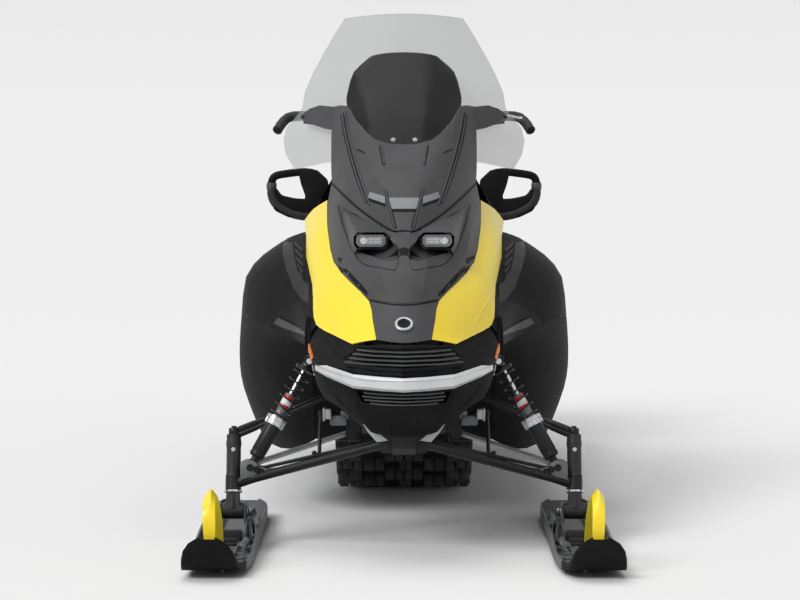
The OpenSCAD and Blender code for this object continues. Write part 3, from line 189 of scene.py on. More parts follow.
# Printed bands round the shock's body
red_band = grain(finish_of("red_printed_band", "#c01824", 0.35), 9, 0.05, ("#b81620", "#c81c28"),
                 (0.3, 0.4))
white_band = grain(finish_of("white_printed_band", "#e6e6e4", 0.35), 9, 0.05, ("#e0e0de", "#ececea"),
                   (0.3, 0.4))
# Bright aluminised reflectors behind the headlight lenses
mirror = grain(finish_of("aluminised_reflector", "#d9dbde", 0.14, 1.0), 10, 0.1, ("#cfd2d5", "#e4e6e8"),
               (0.08, 0.2))


def clear_sheet(name, tint, alpha, rough, gloss=0.5):
    """Thin polycarbonate: mostly see-through, with its own tint and a clean gloss."""
    made = finish_of(name, tint, rough, IOR=1.58, Specular_IOR_Level=gloss)
    tree = made.node_tree
    shader = tree.nodes["Principled BSDF"]
    place = add(tree, "TexCoord").outputs["Object"]
    haze = add(tree, "TexNoise", {"Scale": 9.0, "Detail": 2.0}, Vector=place)
    seen = add(tree, "MapRange", {"To Min": alpha - 0.02, "To Max": alpha + 0.02},
               Value=haze.outputs["Fac"])
    tree.links.new(seen.outputs["Result"], shader.inputs["Alpha"])
    made.surface_render_method = "BLENDED"
    return made


# Clear windshield with a light smoke tint, and the darker screen in its middle
clear_screen = clear_sheet("clear_polycarbonate", "#a9abab", 0.34, 0.12)
dark_screen = clear_sheet("smoked_polycarbonate", "#222322", 0.9, 0.2, 0.1)
lens_clear = clear_sheet("clear_lens", "#d8dbdd", 0.14, 0.05, 0.3)

# ---------- mesh tools ----------


def vectors(points):
    return [Vector(p) for p in points]


def whole(made):
    return made.verts[:] + made.edges[:] + made.faces[:]


def points_in(grown):
    return [g for g in grown if isinstance(g, bmesh.types.BMVert)]


def outward(made):
    """Turns every face to the outside."""
    bmesh.ops.recalc_face_normals(made, faces=made.faces[:])
    return made


def sealed(made):
    """Fills whatever is open and turns the faces outwards."""
    bmesh.ops.holes_fill(made, edges=[e for e in made.edges if e.is_boundary], sides=0)
    return outward(made)


def rounded(made, edges, by, segments=2, clamp=False):
    """Rounds edges by some mm."""
    bmesh.ops.bevel(made, geom=edges, offset=by * MM, segments=segments, profile=0.5, affect="EDGES",
                    material=-1, clamp_overlap=clamp)


def mesh_of(name, made):
    """A mesh from a bmesh, which is freed."""
    mesh = bpy.data.meshes.new(name)
    made.to_mesh(mesh)
    made.free()
    return mesh


def smooth_path(points, steps=4):
    """More points on a smooth curve through the given ones."""
    p = vectors(points)
    p = [2 * p[0] - p[1]] + p + [2 * p[-1] - p[-2]]
    made = []
    for a, b, c, d in zip(p, p[1:], p[2:], p[3:]):
        for k in range(steps):
            t = k / steps
            bend = 2 * a - 5 * b + 4 * c - d + t * (3 * b - a - 3 * c + d)
            made.append(b + 0.5 * t * (c - a + t * bend))
    return made + [p[-2]]


def join(target, part, matrix=None):
    """Adds one bmesh to another and frees it."""
    if matrix is not None:
        part.transform(matrix)
    mesh = mesh_of("part", part)
    target.from_mesh(mesh)
    bpy.data.meshes.remove(mesh)
    return target


def both_sides(part):
    """The shape and its mirror image across the middle plane."""
    bmesh.ops.mirror(part, geom=whole(part), axis="X", merge_dist=-1)
    return outward(part)


def aim(at, direction):
    """A matrix that stands +Z along a direction, with its origin at a point in mm."""
    turn = Vector(direction).to_track_quat("Z", "Y").to_matrix().to_4x4()
    return Matrix.Translation(Vector(at) * MM) @ turn


def frames_along(path):
    """A turn and a place for each point of a path, without twist."""
    side = None
    found = []
    for i, p in enumerate(path):
        ahead = (path[min(i + 1, len(path) - 1)] - path[max(i - 1, 0)]).normalized()
        if side is None:
            side = ahead.cross(Vector((0, 0, 1)))
            if side.length < 1e-4:
                side = Vector((1, 0, 0))
        side = (side - ahead * side.dot(ahead)).normalized()
        up = side.cross(ahead)
        turn = Matrix((side, up, ahead)).transposed().to_4x4()
        found.append(Matrix.Translation(p * MM) @ turn)
    return found


def sweep(path, radius, sides=12, section=None):
    """A closed bar along a path in mm: round, or with a section given as points across and up."""
    path = vectors(path)
    radii = radius if isinstance(radius, (list, tuple)) else [radius] * len(path)
    places = [
        f @ Matrix.Scale(r * MM, 4) for f, r in zip(frames_along(path), radii)
    ]
    made = bmesh.new()
    if section is None:
        ring = bmesh.ops.create_circle(made, cap_ends=False, segments=sides, radius=1)["verts"]
    else:
        ring = [made.verts.new((x, y, 0)) for x, y in section]
        for a, b in zip(ring, ring[1:] + ring[:1]):
            made.edges.new((a, b))
    bmesh.ops.transform(made, matrix=places[0], verts=ring)
    edges = list({e for v in ring for e in v.link_edges})
    for before, after in zip(places, places[1:]):
        grown = bmesh.ops.extrude_edge_only(made, edges=edges)["geom"]
        ring = points_in(grown)
        edges = [g for g in grown if isinstance(g, bmesh.types.BMEdge) and all(v in ring for v in g.verts)]
        bmesh.ops.transform(made, matrix=after @ before.inverted(), verts=ring)
    return sealed(made)


def loft(rings, closed=False):
    """A skin over rings of points in mm, bridged in turn, with its ends closed unless it is a loop."""
    made = bmesh.new()
    loops = []
    for ring in rings:
        row = [made.verts.new(Vector(p) * MM) for p in ring]
        loops.append([made.edges.new(pair) for pair in zip(row, row[1:] + row[:1])])
    for a, b in zip(loops, loops[1:] + (loops[:1] if closed else [])):
        bmesh.ops.bridge_loops(made, edges=a + b)
    return outward(made) if closed else sealed(made)


def turned(profile, at, direction, segments=28):
    """A turned part: radius and height pairs in mm, spun round a line that starts at a point."""
    made = bmesh.new()
    points = [made.verts.new((r * MM, 0, h * MM)) for r, h in profile]
    edges = [made.edges.new(pair) for pair in zip(points, points[1:])]
    bmesh.ops.spin(made, geom=points + edges, cent=(0, 0, 0), axis=(0, 0, 1), angle=2 * math.pi,
                   steps=segments, use_merge=True, use_duplicate=False)
    bmesh.ops.remove_doubles(made, verts=made.verts[:], dist=1e-6)
    sealed(made)
    made.transform(aim(at, direction))
    return made


def bolt(at, direction, across=10.0):
    """A hexagon head with a dished top on its washer."""
    r = across / 2
    made = bmesh.new()
    bmesh.ops.create_cone(made, cap_ends=True, segments=6, radius1=r, radius2=r * 0.94, depth=r * 0.9)
    bmesh.ops.translate(made, verts=made.verts[:], vec=(0, 0, r * 0.45 + 1))
    washer = bmesh.ops.create_cone(made, cap_ends=True, segments=16, radius1=r * 1.5, radius2=r * 1.4,
                                   depth=1.6)["verts"]
    bmesh.ops.translate(made, verts=washer, vec=(0, 0, 0.4))
    bmesh.ops.scale(made, vec=(MM, MM, MM), verts=made.verts[:])
    made.transform(aim(at, direction))
    return made


def bolts(places, across=10.0):
    made = bmesh.new()
    for at, direction in places:
        join(made, bolt(at, direction, across))
    return made


def block(low, high, round_by=2.0, segments=2):
    """A box between two corners with rounded edges."""
    low, high = Vector(low), Vector(high)
    made = bmesh.new()
    bmesh.ops.create_cube(made, size=1)
    size = (high - low) * MM
    bmesh.ops.scale(made, vec=size, verts=made.verts[:])
    bmesh.ops.translate(made, verts=made.verts[:], vec=(low + high) / 2 * MM)
    rounded(made, made.edges[:], round_by, segments)
    return made


def slab(outline, thick, round_by=1.5, along="y", at=0.0):
    """A flat outline given a thickness. along is the axis it faces, and at is where its middle stands."""
    made = bmesh.new()
    turn = {"y": lambda u, v: (u, at - thick / 2, v), "x": lambda u, v: (at - thick / 2, u, v),
            "z": lambda u, v: (u, v, at - thick / 2)}[along]
    face = made.faces.new([made.verts.new(Vector(turn(u, v)) * MM) for u, v in outline])
    grown = bmesh.ops.extrude_face_region(made, geom=[face])["geom"]
    push = {"y": (0, 1, 0), "x": (1, 0, 0), "z": (0, 0, 1)}[along]
    bmesh.ops.translate(made, verts=points_in(grown), vec=Vector(push) * thick * MM)
    outward(made)
    if round_by:
        rounded(made, made.edges[:], round_by, clamp=True)
    return made


def from_node(node):
    """A merged copy of a CAD node's mesh."""
    made = bmesh.new()
    made.from_mesh(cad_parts[node].data)
    bmesh.ops.remove_doubles(made, verts=made.verts[:], dist=2e-5)
    bmesh.ops.dissolve_degenerate(made, dist=1e-6, edges=made.edges[:])
    return made


def skin_of(*nodes):
    """Something to lay details on: the outside of one or more CAD nodes."""
    whole = bmesh.new()
    for node in nodes:
        join(whole, from_node(node))
    return BVHTree.FromBMesh(whole)


def laid(points, skin, lift=0.0):
    """Points given as X and Z (or all three), moved onto a skin that faces them, in mm."""
    found = []
    along = Vector((0, 1, 0))
    for p in points:
        start = Vector((p[0], 0, p[-1])) if len(p) == 2 else Vector(p)
        hit, normal, _, _ = skin.ray_cast(start * MM - along * 3, along)
        if hit is None:
            hit, normal, _, _ = skin.find_nearest(start * MM if len(p) == 3 else Vector((p[0], -900,
                                                                                         p[-1])) * MM)
        found.append((hit / MM) + normal * lift)
    return found


def line_on(points, skin, radius, lift=0.0, steps=4):
    """A thin rib or groove line that follows a skin."""
    spread = [(p.x, p.z) for p in smooth_path([(x, 0, z) for x, z in points], steps)]
    return sweep(laid(spread, skin, lift), radius, 8)


def plate_on(outline, skin, lift=0.8, thick=2.5, step=14.0):
    """A plate with an outline in X and Z that lies close on a forward-facing skin."""
    made = bmesh.new()
    made.faces.new([made.verts.new((x * MM, 0, z * MM)) for x, z in outline])
    for axis, normal in ((0, (1, 0, 0)), (1, (0, 0, 1))):
        low, high = min(p[axis] for p in outline), max(p[axis] for p in outline)
        cuts = int((high - low) / step)
        for k in range(1, cuts + 1):
            at = low + (high - low) * k / (cuts + 1)
            bmesh.ops.bisect_plane(made, geom=whole(made),
                                   plane_co=Vector(normal) * at * MM, plane_no=normal)
    bmesh.ops.triangulate(made, faces=made.faces[:])
    backs = {}
    for v in made.verts:
        hit, normal, _, _ = skin.ray_cast(Vector((v.co.x, -3, v.co.z)), Vector((0, 1, 0)))
        if hit is None:
            hit, normal, _, _ = skin.find_nearest(Vector((v.co.x, -1, v.co.z)))
        v.co = hit + normal * lift * MM
        backs[v] = hit - normal * (thick - lift) * MM
    grown = bmesh.ops.extrude_face_region(made, geom=made.faces[:])["geom"]
    new = points_in(grown)
    for v in new:
        v.co = min(backs.items(), key=lambda pair: (pair[0].co - v.co).length_squared)[1]
    return outward(made)


def piece(name, made, material, body="chassis", replaces=(), smooth=32, bevel=0.0):
    """Makes the finished object of a bmesh, with its materials, shading and body."""
    for face in made.faces:
        face.smooth = True
    for edge in made.edges:
        edge.smooth = len(edge.link_faces) == 2 and edge.calc_face_angle(0) < math.radians(smooth)
    mesh = mesh_of(name, made)
    thing = placed(name, mesh)
    for m in material if isinstance(material, (list, tuple)) else [material]:
        mesh.materials.append(m)
    if bevel:
        soft = thing.modifiers.new("edges", "BEVEL")
        soft.width = bevel * MM
        soft.segments = 2
        soft.limit_method = "ANGLE"
        soft.angle_limit = math.radians(40)
        soft.harden_normals = False
    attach(thing, body)
    if replaces:
        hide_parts(*replaces)
    return thing


def panel(node, name, material, body="chassis", smooth=32, bevel=0.0):
    """A CAD panel, merged and shaded smooth."""
    return piece(name, from_node(node), material, body, [node], smooth, bevel)


def rim(outline, width, depth, at, round_by=0.8):
    """A flat frame that runs round an outline in X and Z: width wide and depth deep."""
    made = bmesh.new()
    face = made.faces.new([made.verts.new((x * MM, at * MM, z * MM)) for x, z in outline])
    ring = bmesh.ops.inset_individual(made, faces=[face], thickness=width * MM,
                                      use_even_offset=True)["faces"]
    bmesh.ops.delete(made, geom=[face], context="FACES")
    grown = bmesh.ops.extrude_face_region(made, geom=ring)["geom"]
    bmesh.ops.translate(made, verts=points_in(grown), vec=(0, depth * MM, 0))
    outward(made)
    if round_by:
        rounded(made, [e for e in made.edges if e.calc_face_angle(0) > 0.6], round_by, 1)
    return made


def group(parts):
    """Several shapes made one."""
    made = bmesh.new()
    for part in parts:
        join(made, part)
    return made


def pair_of(parts):
    """Several shapes made one, on both sides of the machine."""
    return both_sides(group(parts))


# ---------- body panels ----------

panel("hood", "hood_skin", graphite, smooth=17)
panel("hood_wings", "hood_corner_wings", graphite)
panel("headlight_fascia", "headlight_panel", graphite, smooth=17)
panel("nose_panel", "nose_skin", graphite)
panel("side_hoods", "yellow_side_hoods", yellow, smooth=40)
# Side panels, trimmed by a plane that leans back over the top of the louvred outlet
sides = from_node("side_panels")
for across in (1, -1):
    bmesh.ops.bisect_plane(sides, geom=whole(sides), dist=1e-6, clear_outer=True,
                           plane_co=(across * 0.34, -0.56, 0.792), plane_no=(across * 0.17, 0.16, 0.97))
bmesh.ops.holes_fill(sides, edges=[e for e in sides.edges if e.is_boundary], sides=0)
piece("side_panel_skins", sides, black_plastic, replaces=["side_panels"])
panel("foot_pods", "foot_pod_skins", black_plastic)
panel("belly_pan", "belly_pan_skin", black_plastic)
panel("console", "console_skin", black_plastic)
panel("windshield", "windshield_sheet", clear_screen, smooth=50)
panel("tinted_screen", "tinted_screen_sheet", dark_screen, smooth=50)
panel("headlight_bezels", "headlight_pockets", graphite)
panel("front_bumper", "front_bumper_bar", silver_coat, smooth=12, bevel=1.5)
panel("bulkhead", "bulkhead_castings", black_coat)
panel("engine", "engine_block", cast_metal, bevel=6)
panel("tunnel", "tunnel_sheet", sheet_metal, bevel=1.5)
panel("upper_frame", "upper_frame_tubes", black_coat)
panel("front_grille", "grille_slats", deep_black)
panel("gauge", "gauge_case", black_plastic)
panel("fuel_tank", "fuel_tank_shell", black_plastic, bevel=12)
panel("fuel_cap", "fuel_filler_cap", black_plastic, bevel=1)
panel("running_boards", "running_board_sheet", sheet_metal)
panel("cargo_rack", "cargo_rack_tubes", black_coat)
panel("rear_bumper", "rear_bumper_tube", black_coat)
panel("tow_hitch", "tow_hitch_plate", black_coat, bevel=1)
panel("tail_light", "tail_light_lens", red_lens, bevel=2)
panel("snow_flap", "snow_flap_sheet", rubber, bevel=1)
panel("drive_axle", "drive_axle_sprockets", black_coat)
panel("slide_rails", "slide_rail_pair", sheet_metal)
panel("skid_arms", "skid_arm_tubes", black_coat)
panel("steering_post", "steering_post_tube", black_coat, body="steering")

# ---------- hood, headlights and nose ----------

hood_skin = skin_of("hood")
fascia_skin = skin_of("headlight_fascia", "headlight_bezels")
front_skin = skin_of("headlight_fascia", "headlight_bezels", "nose_panel", "side_hoods", "hood")
nose_skin = skin_of("nose_panel")
belly_skin = skin_of("belly_pan")


def marks(lines, skin, radius, lift=0.0):
    """Thin raised or sunk lines on both sides of the machine."""
    return pair_of([line_on(points, skin, radius, lift, 3) for points in lines])


# Silver inlay in three pieces across the hood, each over a black strip of painted shade under its step
piece("hood_inlay", group([
    plate_on([(-40, 914), (40, 914), (37, 886), (-37, 886)], hood_skin, 1.6, 4, 12),
    both_sides(plate_on([(51, 917), (91, 928), (96, 913), (50, 899)], hood_skin, 1.6, 4, 12)),
]), inlay_grey)
piece("hood_inlay_painted_step_shade", pair_of([
    plate_on([(0, 887), (38, 887), (35, 879), (0, 879)], hood_skin, 0.8, 3, 12),
    plate_on([(49, 900), (96, 914), (99, 906), (48, 891)], hood_skin, 0.8, 3, 12),
]), deep_black)
# Raised ribs of the hood, from the screen down to the headlight panel
piece("hood_ribs", marks([
    [(51, 935), (38, 890), (24, 838)],
    [(63, 1050), (58, 1025), (54, 1000)],
    [(165, 1143), (149, 1065), (120, 972), (91, 895)],
    [(173, 1136), (158, 1062), (129, 972), (101, 900)],
], hood_skin, 3.0, 0.6), graphite)
# Black lines beside the ribs: painted shade on the ribs' flanks
piece("hood_rib_painted_flank_shade", marks([
    [(54, 937), (41, 890), (27, 838)],
    [(47, 933), (34, 889), (20, 838)],
    [(169, 1140), (153.5, 1064), (124.5, 972), (96, 898)],
    [(177, 1134), (162.5, 1061), (133.5, 971), (105, 902)],
    [(67, 1050), (62, 1025), (57, 1000)],
    [(131, 1040), (120, 1036), (108, 1031)],
], hood_skin, 1.7, 0.2), deep_black)
# Dark joint between the hood and the headlight panel
piece("hood_front_joint", both_sides(sweep(
    smooth_path([(0, -1057, 831), (33, -1049, 832), (102, -931, 870), (161, -801, 914), (200, -642, 945)],
                3),
    3.2, 8)), deep_black)

# Folds of the headlight panel: black lines of painted shade along the lid over each lamp and along the
# outer line, and the nose bridge
piece("headlight_lid_painted_fold_shade", marks([
    [(155, 876), (140, 872), (122, 864), (88, 838), (52, 816), (24, 799), (14, 784), (9, 772)],
], fascia_skin, 1.2, 0.1), deep_black)
piece("headlight_outer_painted_fold_shade", marks([
    [(178, 890), (170, 862), (158, 826), (138, 786), (121, 760), (102, 745), (64, 740), (28, 735),
     (22, 738)],
], fascia_skin, 1.2, 0.1), deep_black)
piece("headlight_outer_ridges", marks([
    [(182, 886), (174, 858), (161, 822), (142, 783), (125, 757)],
    [(22, 738), (16, 752), (11, 768)],
], fascia_skin, 1.6, 0.4), graphite)
piece("nose_bridge_fins", pair_of([
    plate_on([(11, 768), (14, 784), (24, 776), (42, 763), (28, 766), (18, 769)], fascia_skin, 1.0, 3, 8),
    plate_on([(0, 790), (14, 786), (10, 770), (0, 772)], fascia_skin, 1.2, 3, 8),
]), deep_black)
# Painted shade beside each yellow panel: black patches in its stepped notches and a darker strip along its
# chamfer
piece("headlight_panel_painted_notch_shade", pair_of([
    plate_on([(196, 764), (184, 758), (186, 752), (194, 753)], fascia_skin, 0.6, 3, 8),
    plate_on([(186, 741), (168, 733), (160, 722), (164, 718), (180, 733)], fascia_skin, 0.6, 3, 8),
]), deep_black)
piece("headlight_panel_painted_chamfer_shade", both_sides(
    plate_on([(168, 730), (148, 714), (122, 690), (92, 668), (88, 674), (112, 698), (140, 722), (160, 736)],
             fascia_skin, 0.5, 3, 10)), black_plastic)
piece("headlight_panel_lip", plate_on(
    [(-88, 681), (0, 682), (88, 681), (86, 662), (45, 658), (0, 655), (-45, 658), (-86, 662)],
    fascia_skin, 1.4, 4, 12), graphite)
piece("nose_top_joint", both_sides(line_on([(0, 651), (45, 654), (88, 660)], front_skin, 2.0, 0.0)),
      deep_black)

# Headlights: on each side a stepped bright frame, four reflector bars, a round reflector and a clear cover
lamp_low, lamp_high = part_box("headlights")
lamp_face = lamp_low.y / MM
lamp_mid = (lamp_high.x / MM - 40, 806)


def lamp_outline(grow):
    """The lamp's eight-sided outline, grown on every side by some mm."""
    x, z = lamp_mid
    return [(x + px * (1 + grow / 40), z + pz * (1 + grow / 17)) for px, pz in (
        (-40, -8), (-32, -17), (32, -17), (40, -6), (40, 8), (32, 17), (-32, 17), (-40, 10))]


# Fairing that funnels from the opening's rim down to each lamp
fascia_only = skin_of("headlight_fascia")
rim_line = laid([(17, 784), (38, 757), (132, 768), (147, 795), (158, 838), (169, 889), (50, 841),
                 (19, 812)],
                fascia_only, -0.5)
lamp_rim = [Vector((x, lamp_face + 5, z)) for x, z in lamp_outline(5)]
half_way = [a.lerp(b, 0.55) + Vector((0, 5, 0)) for a, b in zip(rim_line, lamp_rim)]
back = Vector((0, 4, 0))
piece("headlight_fairings", both_sides(loft(
    [rim_line, half_way, lamp_rim, [p + back for p in lamp_rim], [p + back for p in half_way],
     [p + back for p in rim_line]], closed=True)), graphite, smooth=50)
# Black surround round each lamp: partly the surround's own colour, partly painted shade of the lamp's
# recess
piece("headlight_surrounds_and_painted_shade", pair_of([
    rim(lamp_outline(5), 5, 30, lamp_face + 4, 0.6),
]), deep_black)
piece("headlight_frames", pair_of([
    rim(lamp_outline(-0.6), 3.0, 8, lamp_face + 0.4, 0.6),
    rim(lamp_outline(-7.5), 2.6, 6, lamp_face + 3.0, 0.5),
    block((lamp_mid[0] + 7, lamp_face + 3.2, 797), (lamp_mid[0] + 9.5, lamp_face + 9, 815), 0.4, 1),
]), mirror)
piece("headlight_bodies", pair_of([
    slab(lamp_outline(-0.8), 50, 0.8, "y", lamp_face + 38),
]), grey_nylon)
piece("headlight_reflectors", pair_of(
    [slab([(lamp_mid[0] - 29, z - 1.6), (lamp_mid[0] + 6, z - 1.6), (lamp_mid[0] + 6, z + 1.6),
           (lamp_mid[0] - 29, z + 1.6)], 5, 0.5, "y", lamp_face + 9) for z in (799.5, 804, 808.5, 813)] +
    [turned([(0, -4), (4, -3.4), (6.4, -1), (7.4, 2), (8.2, 2), (8.2, -3), (9, -3), (9, 6), (0, 6)],
            (lamp_mid[0] + 19, lamp_face + 9, 806), (0, -1, 0), 20)]),
    mirror)
piece("headlight_covers", both_sides(slab(lamp_outline(-1.2), 2.0, 0.6, "y", lamp_face + 1.4)), lens_clear,
      replaces=["headlights"])

# Round blank boss where a nose badge goes: a dark dish in a bright ring
badge_at = laid([(0, 607)], nose_skin)[0]
badge_turn = (0, -0.66, 0.75)
piece("nose_boss_ring", turned(
    [(16.5, -2), (16.5, 2.6), (17.5, 3.4), (21.5, 3.4), (24, 1.6), (24.4, -2)], badge_at, badge_turn, 40),
    sheet_metal)
piece("nose_boss_dish", turned([(0, 0.8), (12, 1.4), (17.4, 2.6), (17.4, -3), (0, -3)], badge_at,
                               badge_turn, 40),
      deep_black)

# Pressed creases of the yellow panels
yellow_skin = skin_of("side_hoods")
piece("yellow_panel_creases", marks([
    [(240, 672), (214, 640), (184, 596)],
], yellow_skin, 1.4, 0.2), yellow)

# ---------- belly pan, grilles and bumper ----------


def grille_bar(z, half, y_mid, y_end, high, deep, drop=0.0):
    """One moulded slat, folded at the middle, thin at its front edge."""
    path = [(-half, y_end, z + drop), (-half * 0.62, y_end + (y_mid - y_end) * 0.62, z + drop * 0.4),
            (0, y_mid, z)]
    path += [(-x, y, h) for x, y, h in reversed(path[:-1])]
    return sweep(path, 1, section=[(-deep / 2, -high / 2), (deep / 2, -high / 2), (deep / 2, high / 2),
                                   (-deep / 2, high / 2)])


piece("upper_grille_slats", group([
    grille_bar(539, 112, -1366, -1306, 4.4, 26, 2),
    grille_bar(529, 122, -1374, -1310, 4.4, 26, 2),
    grille_bar(518.5, 132, -1380, -1312, 4.4, 26, 2),
    grille_bar(508, 142, -1384, -1308, 4.4, 26, 2),
]), grey_nylon)
piece("upper_grille_frame", pair_of([
    sweep(laid([(0, 549), (60, 549), (119, 547)], belly_skin, 0.5), [5, 5, 4], 8),
    sweep(laid([(119, 547), (138, 530), (158, 514)], belly_skin, 0.5), [4, 4, 4], 8),
    sweep(laid([(0, 494), (70, 497), (140, 501), (158, 514)], belly_skin, 0.5), [7, 6.5, 6, 4], 8),
]), black_plastic)
# Black lines of painted shade along the folds beside the upper grille
piece("upper_grille_painted_fold_shade", marks([[(186, 566), (160, 534), (150, 520)],
                                        [(214, 560), (190, 536), (168, 514)]],
                                       belly_skin, 1.3, 0.1), deep_black)
piece("lower_grille_slats", group([
    grille_bar(434, 96, -1392, -1352, 4, 22, 2),
    grille_bar(425, 100, -1390, -1350, 4, 22, 2),
    grille_bar(416, 94, -1386, -1348, 4, 22, 2),
    grille_bar(407, 80, -1380, -1350, 4, 22, 2),
]), grey_nylon)
# Black lines of painted shade along the belly pan's folds
piece("belly_painted_fold_shade", marks([
    [(123, 440), (117, 392)],
    [(117, 392), (60, 386), (0, 378)],
    [(133, 374), (100, 372), (60, 366), (30, 360)],
    [(36, 356), (34, 330), (32, 318)],
    [(214, 486), (196, 440), (160, 390), (133, 374)],
], belly_skin, 1.5, 0.1), deep_black)
piece("bumper_slot", both_sides(sweep(laid([(0, 484), (70, 487), (140, 492), (168, 495)], belly_skin, -1.5),
                                      [6, 5.5, 5, 3], 8)), deep_black)
# Bright steel line along the bumper's upper edge: a painted highlight
piece("bumper_painted_edge_highlight", both_sides(sweep(
    smooth_path([(0, -1440, 473), (62, -1425, 474), (128, -1388, 477), (202, -1266, 486),
                 (228, -1190, 490)], 2),
    [1.6] * 9, 6)), bright_steel)

# ---------- side panels, markers and louvres ----------

side_skin = skin_of("side_panels", "foot_pods", "side_hoods")
# Painted shadow under each side panel's overhang, as a flat black plate, with its air scoop's lip
piece("side_painted_overhang_shadows", both_sides(plate_on(
    [(241, 654), (280, 636), (314, 620), (352, 598), (380, 566), (368, 556), (330, 540), (290, 529),
     (264, 528), (258, 560), (250, 600)], side_skin, 0.9, 4, 12)), deep_black)
piece("side_scoop_lips", both_sides(plate_on(
    [(354, 567), (340, 583), (318, 577), (292, 569), (254, 561), (256, 552), (292, 552), (330, 559)],
    side_skin, 4, 7, 10)), graphite)
# Raised band that frames each louvred outlet, the outlet's black floor, a flat plate of painted shade, and
# its slanted fins
outlet_skin = skin_of("side_panels")
piece("side_outlet_bands", both_sides(plate_on(
    [(337, 778), (336, 753), (320, 712), (297, 667), (272, 642), (252, 634), (254, 679), (272, 689),
     (289, 712), (301, 749), (309, 778)], outlet_skin, 2, 5, 9)), black_band, smooth=60)
piece("side_outlet_painted_shade_floors", both_sides(plate_on(
    [(306, 784), (299, 749), (287, 712), (272, 692), (270, 700), (270, 730), (272, 760), (275, 784)],
    outlet_skin, 0.6, 3, 12)), deep_black)
piece("side_outlet_fins", pair_of([
    plate_on([(a, z), (a - 2, z - 8), (b, z - 26), (b, z - 18)], outlet_skin, 3.5, 5, 9)
    for a, b, z in ((304, 278, 782), (300, 275, 764), (296, 273, 746), (290, 272, 729), (284, 271, 713))
]), black_band, smooth=60)
# Amber reflectors, cut to a slim leaning shape
piece("amber_reflectors", both_sides(plate_on([(246, 536), (235, 504), (244, 489), (254, 530)], belly_skin,
                                              3.6, 6, 8)),
      amber, replaces=["side_markers"])
# Black liners that close the corner between the belly pan and each side panel; their black is also painted
# shade of that corner
piece("corner_liners_and_painted_shade", pair_of([
    slab([(222, 600), (258, 606), (262, 560), (262, 524), (238, 520), (226, 560)], 4, 1, "y", -1044),
    slab([(228, 560), (252, 575), (252, 520), (240, 500), (228, 500)], 4, 1, "y", -1066),
]), deep_black)

# ---------- cockpit: bars, levers, gauge and screens ----------

POST_TOP = Vector((0, -20, 1092))
bar_line = smooth_path([POST_TOP + Vector(p) for p in (
    (0, 0, 0), (64, 0, 0), (98, 0, 8), (150, 0, 34), (230, 14, 38), (330, 30, 38), (360, 12, 24),
    (379, -26, -4))], 4)
piece("handlebar_bars", both_sides(sweep(bar_line, 11, 16)), black_coat, "steering",
      ["handlebar"])
grip = bar_line[17:]
piece("handlebar_grips", pair_of(
    [sweep(grip, [15.2 if k % 2 else 14.4 for k in range(len(grip))], 18)] +
    [turned([(11, 0), (18, 0.5), (18.4, 2), (18.4, 5), (17, 6), (11, 6)], bar_line[17],
            bar_line[18] - bar_line[17], 24)]), rubber, "steering")
piece("handlebar_clamp", group([
    block((-46, -46, 1068), (46, 6, 1096), 6, 3), block((-34, -40, 1094), (34, 2, 1116), 6, 3),
] + [bolt((x, y, 1117), (0, 0, 1), 10) for x in (-22, 22) for y in (-30, -8)]), cast_metal, "steering")
# Throttle paddle on the rider's right, brake lever and reservoir on the left
piece("throttle_unit", group([
    block((-226, -14, 1116), (-190, 26, 1150), 8, 3),
    slab([(-214, -30), (-290, -46), (-312, -40), (-314, -30), (-290, -32), (-214, -12)], 9, 2.5, "z", 1128),
]), black_plastic, "steering")
piece("brake_unit", group([
    block((186, -20, 1114), (226, 26, 1150), 7, 3), block((190, -44, 1128), (232, -12, 1146), 5, 2),
]), black_plastic, "steering")
piece("brake_lever", sweep(smooth_path([(214, -24, 1130), (250, -48, 1130), (310, -52, 1130),
                                        (352, -50, 1122)], 5),
                           [6] + [5] * 14 + [6.5], 12), bright_steel, "steering")
piece("switch_pods", group([
    block((130, -24, 1100), (166, 20, 1140), 8, 3), block((-170, -24, 1102), (-134, 20, 1142), 8, 3),
    block((136, -30, 1118), (158, -22, 1128), 2, 2), block((-160, -30, 1118), (-140, -22, 1130), 2, 2),
]), grey_black, "steering")

# Gauge: a dark glass face set into its housing
gauge_mid = Vector((0, -441, 1082))
gauge_turn = Matrix.Translation(gauge_mid * MM) @ Matrix.Rotation(math.radians(-38), 4, "X")
face = block((-64, -6, -34), (64, 2, 34), 3, 2)
face.transform(Matrix.Translation(Vector((0, 36, 0)) * MM))
face.transform(gauge_turn)
piece("gauge_glass", face, dark_screen)

# Black lower edges of the hood's wings, and the tinted screen's studs
wing_edge = [(208, -478, 1096), (240, -452, 1108), (268, -432, 1118), (292, -418, 1128)]
piece("wing_lower_edges", both_sides(sweep(wing_edge, [4, 5, 5, 4], 10)), deep_black)
tint_skin = skin_of("tinted_screen")
piece("tinted_screen_studs", both_sides(bolts([(laid([(30, 1066)], tint_skin, 0.4)[0], (0, -1, 0.6))], 9)),
      bright_steel)

# ---------- passenger handles ----------

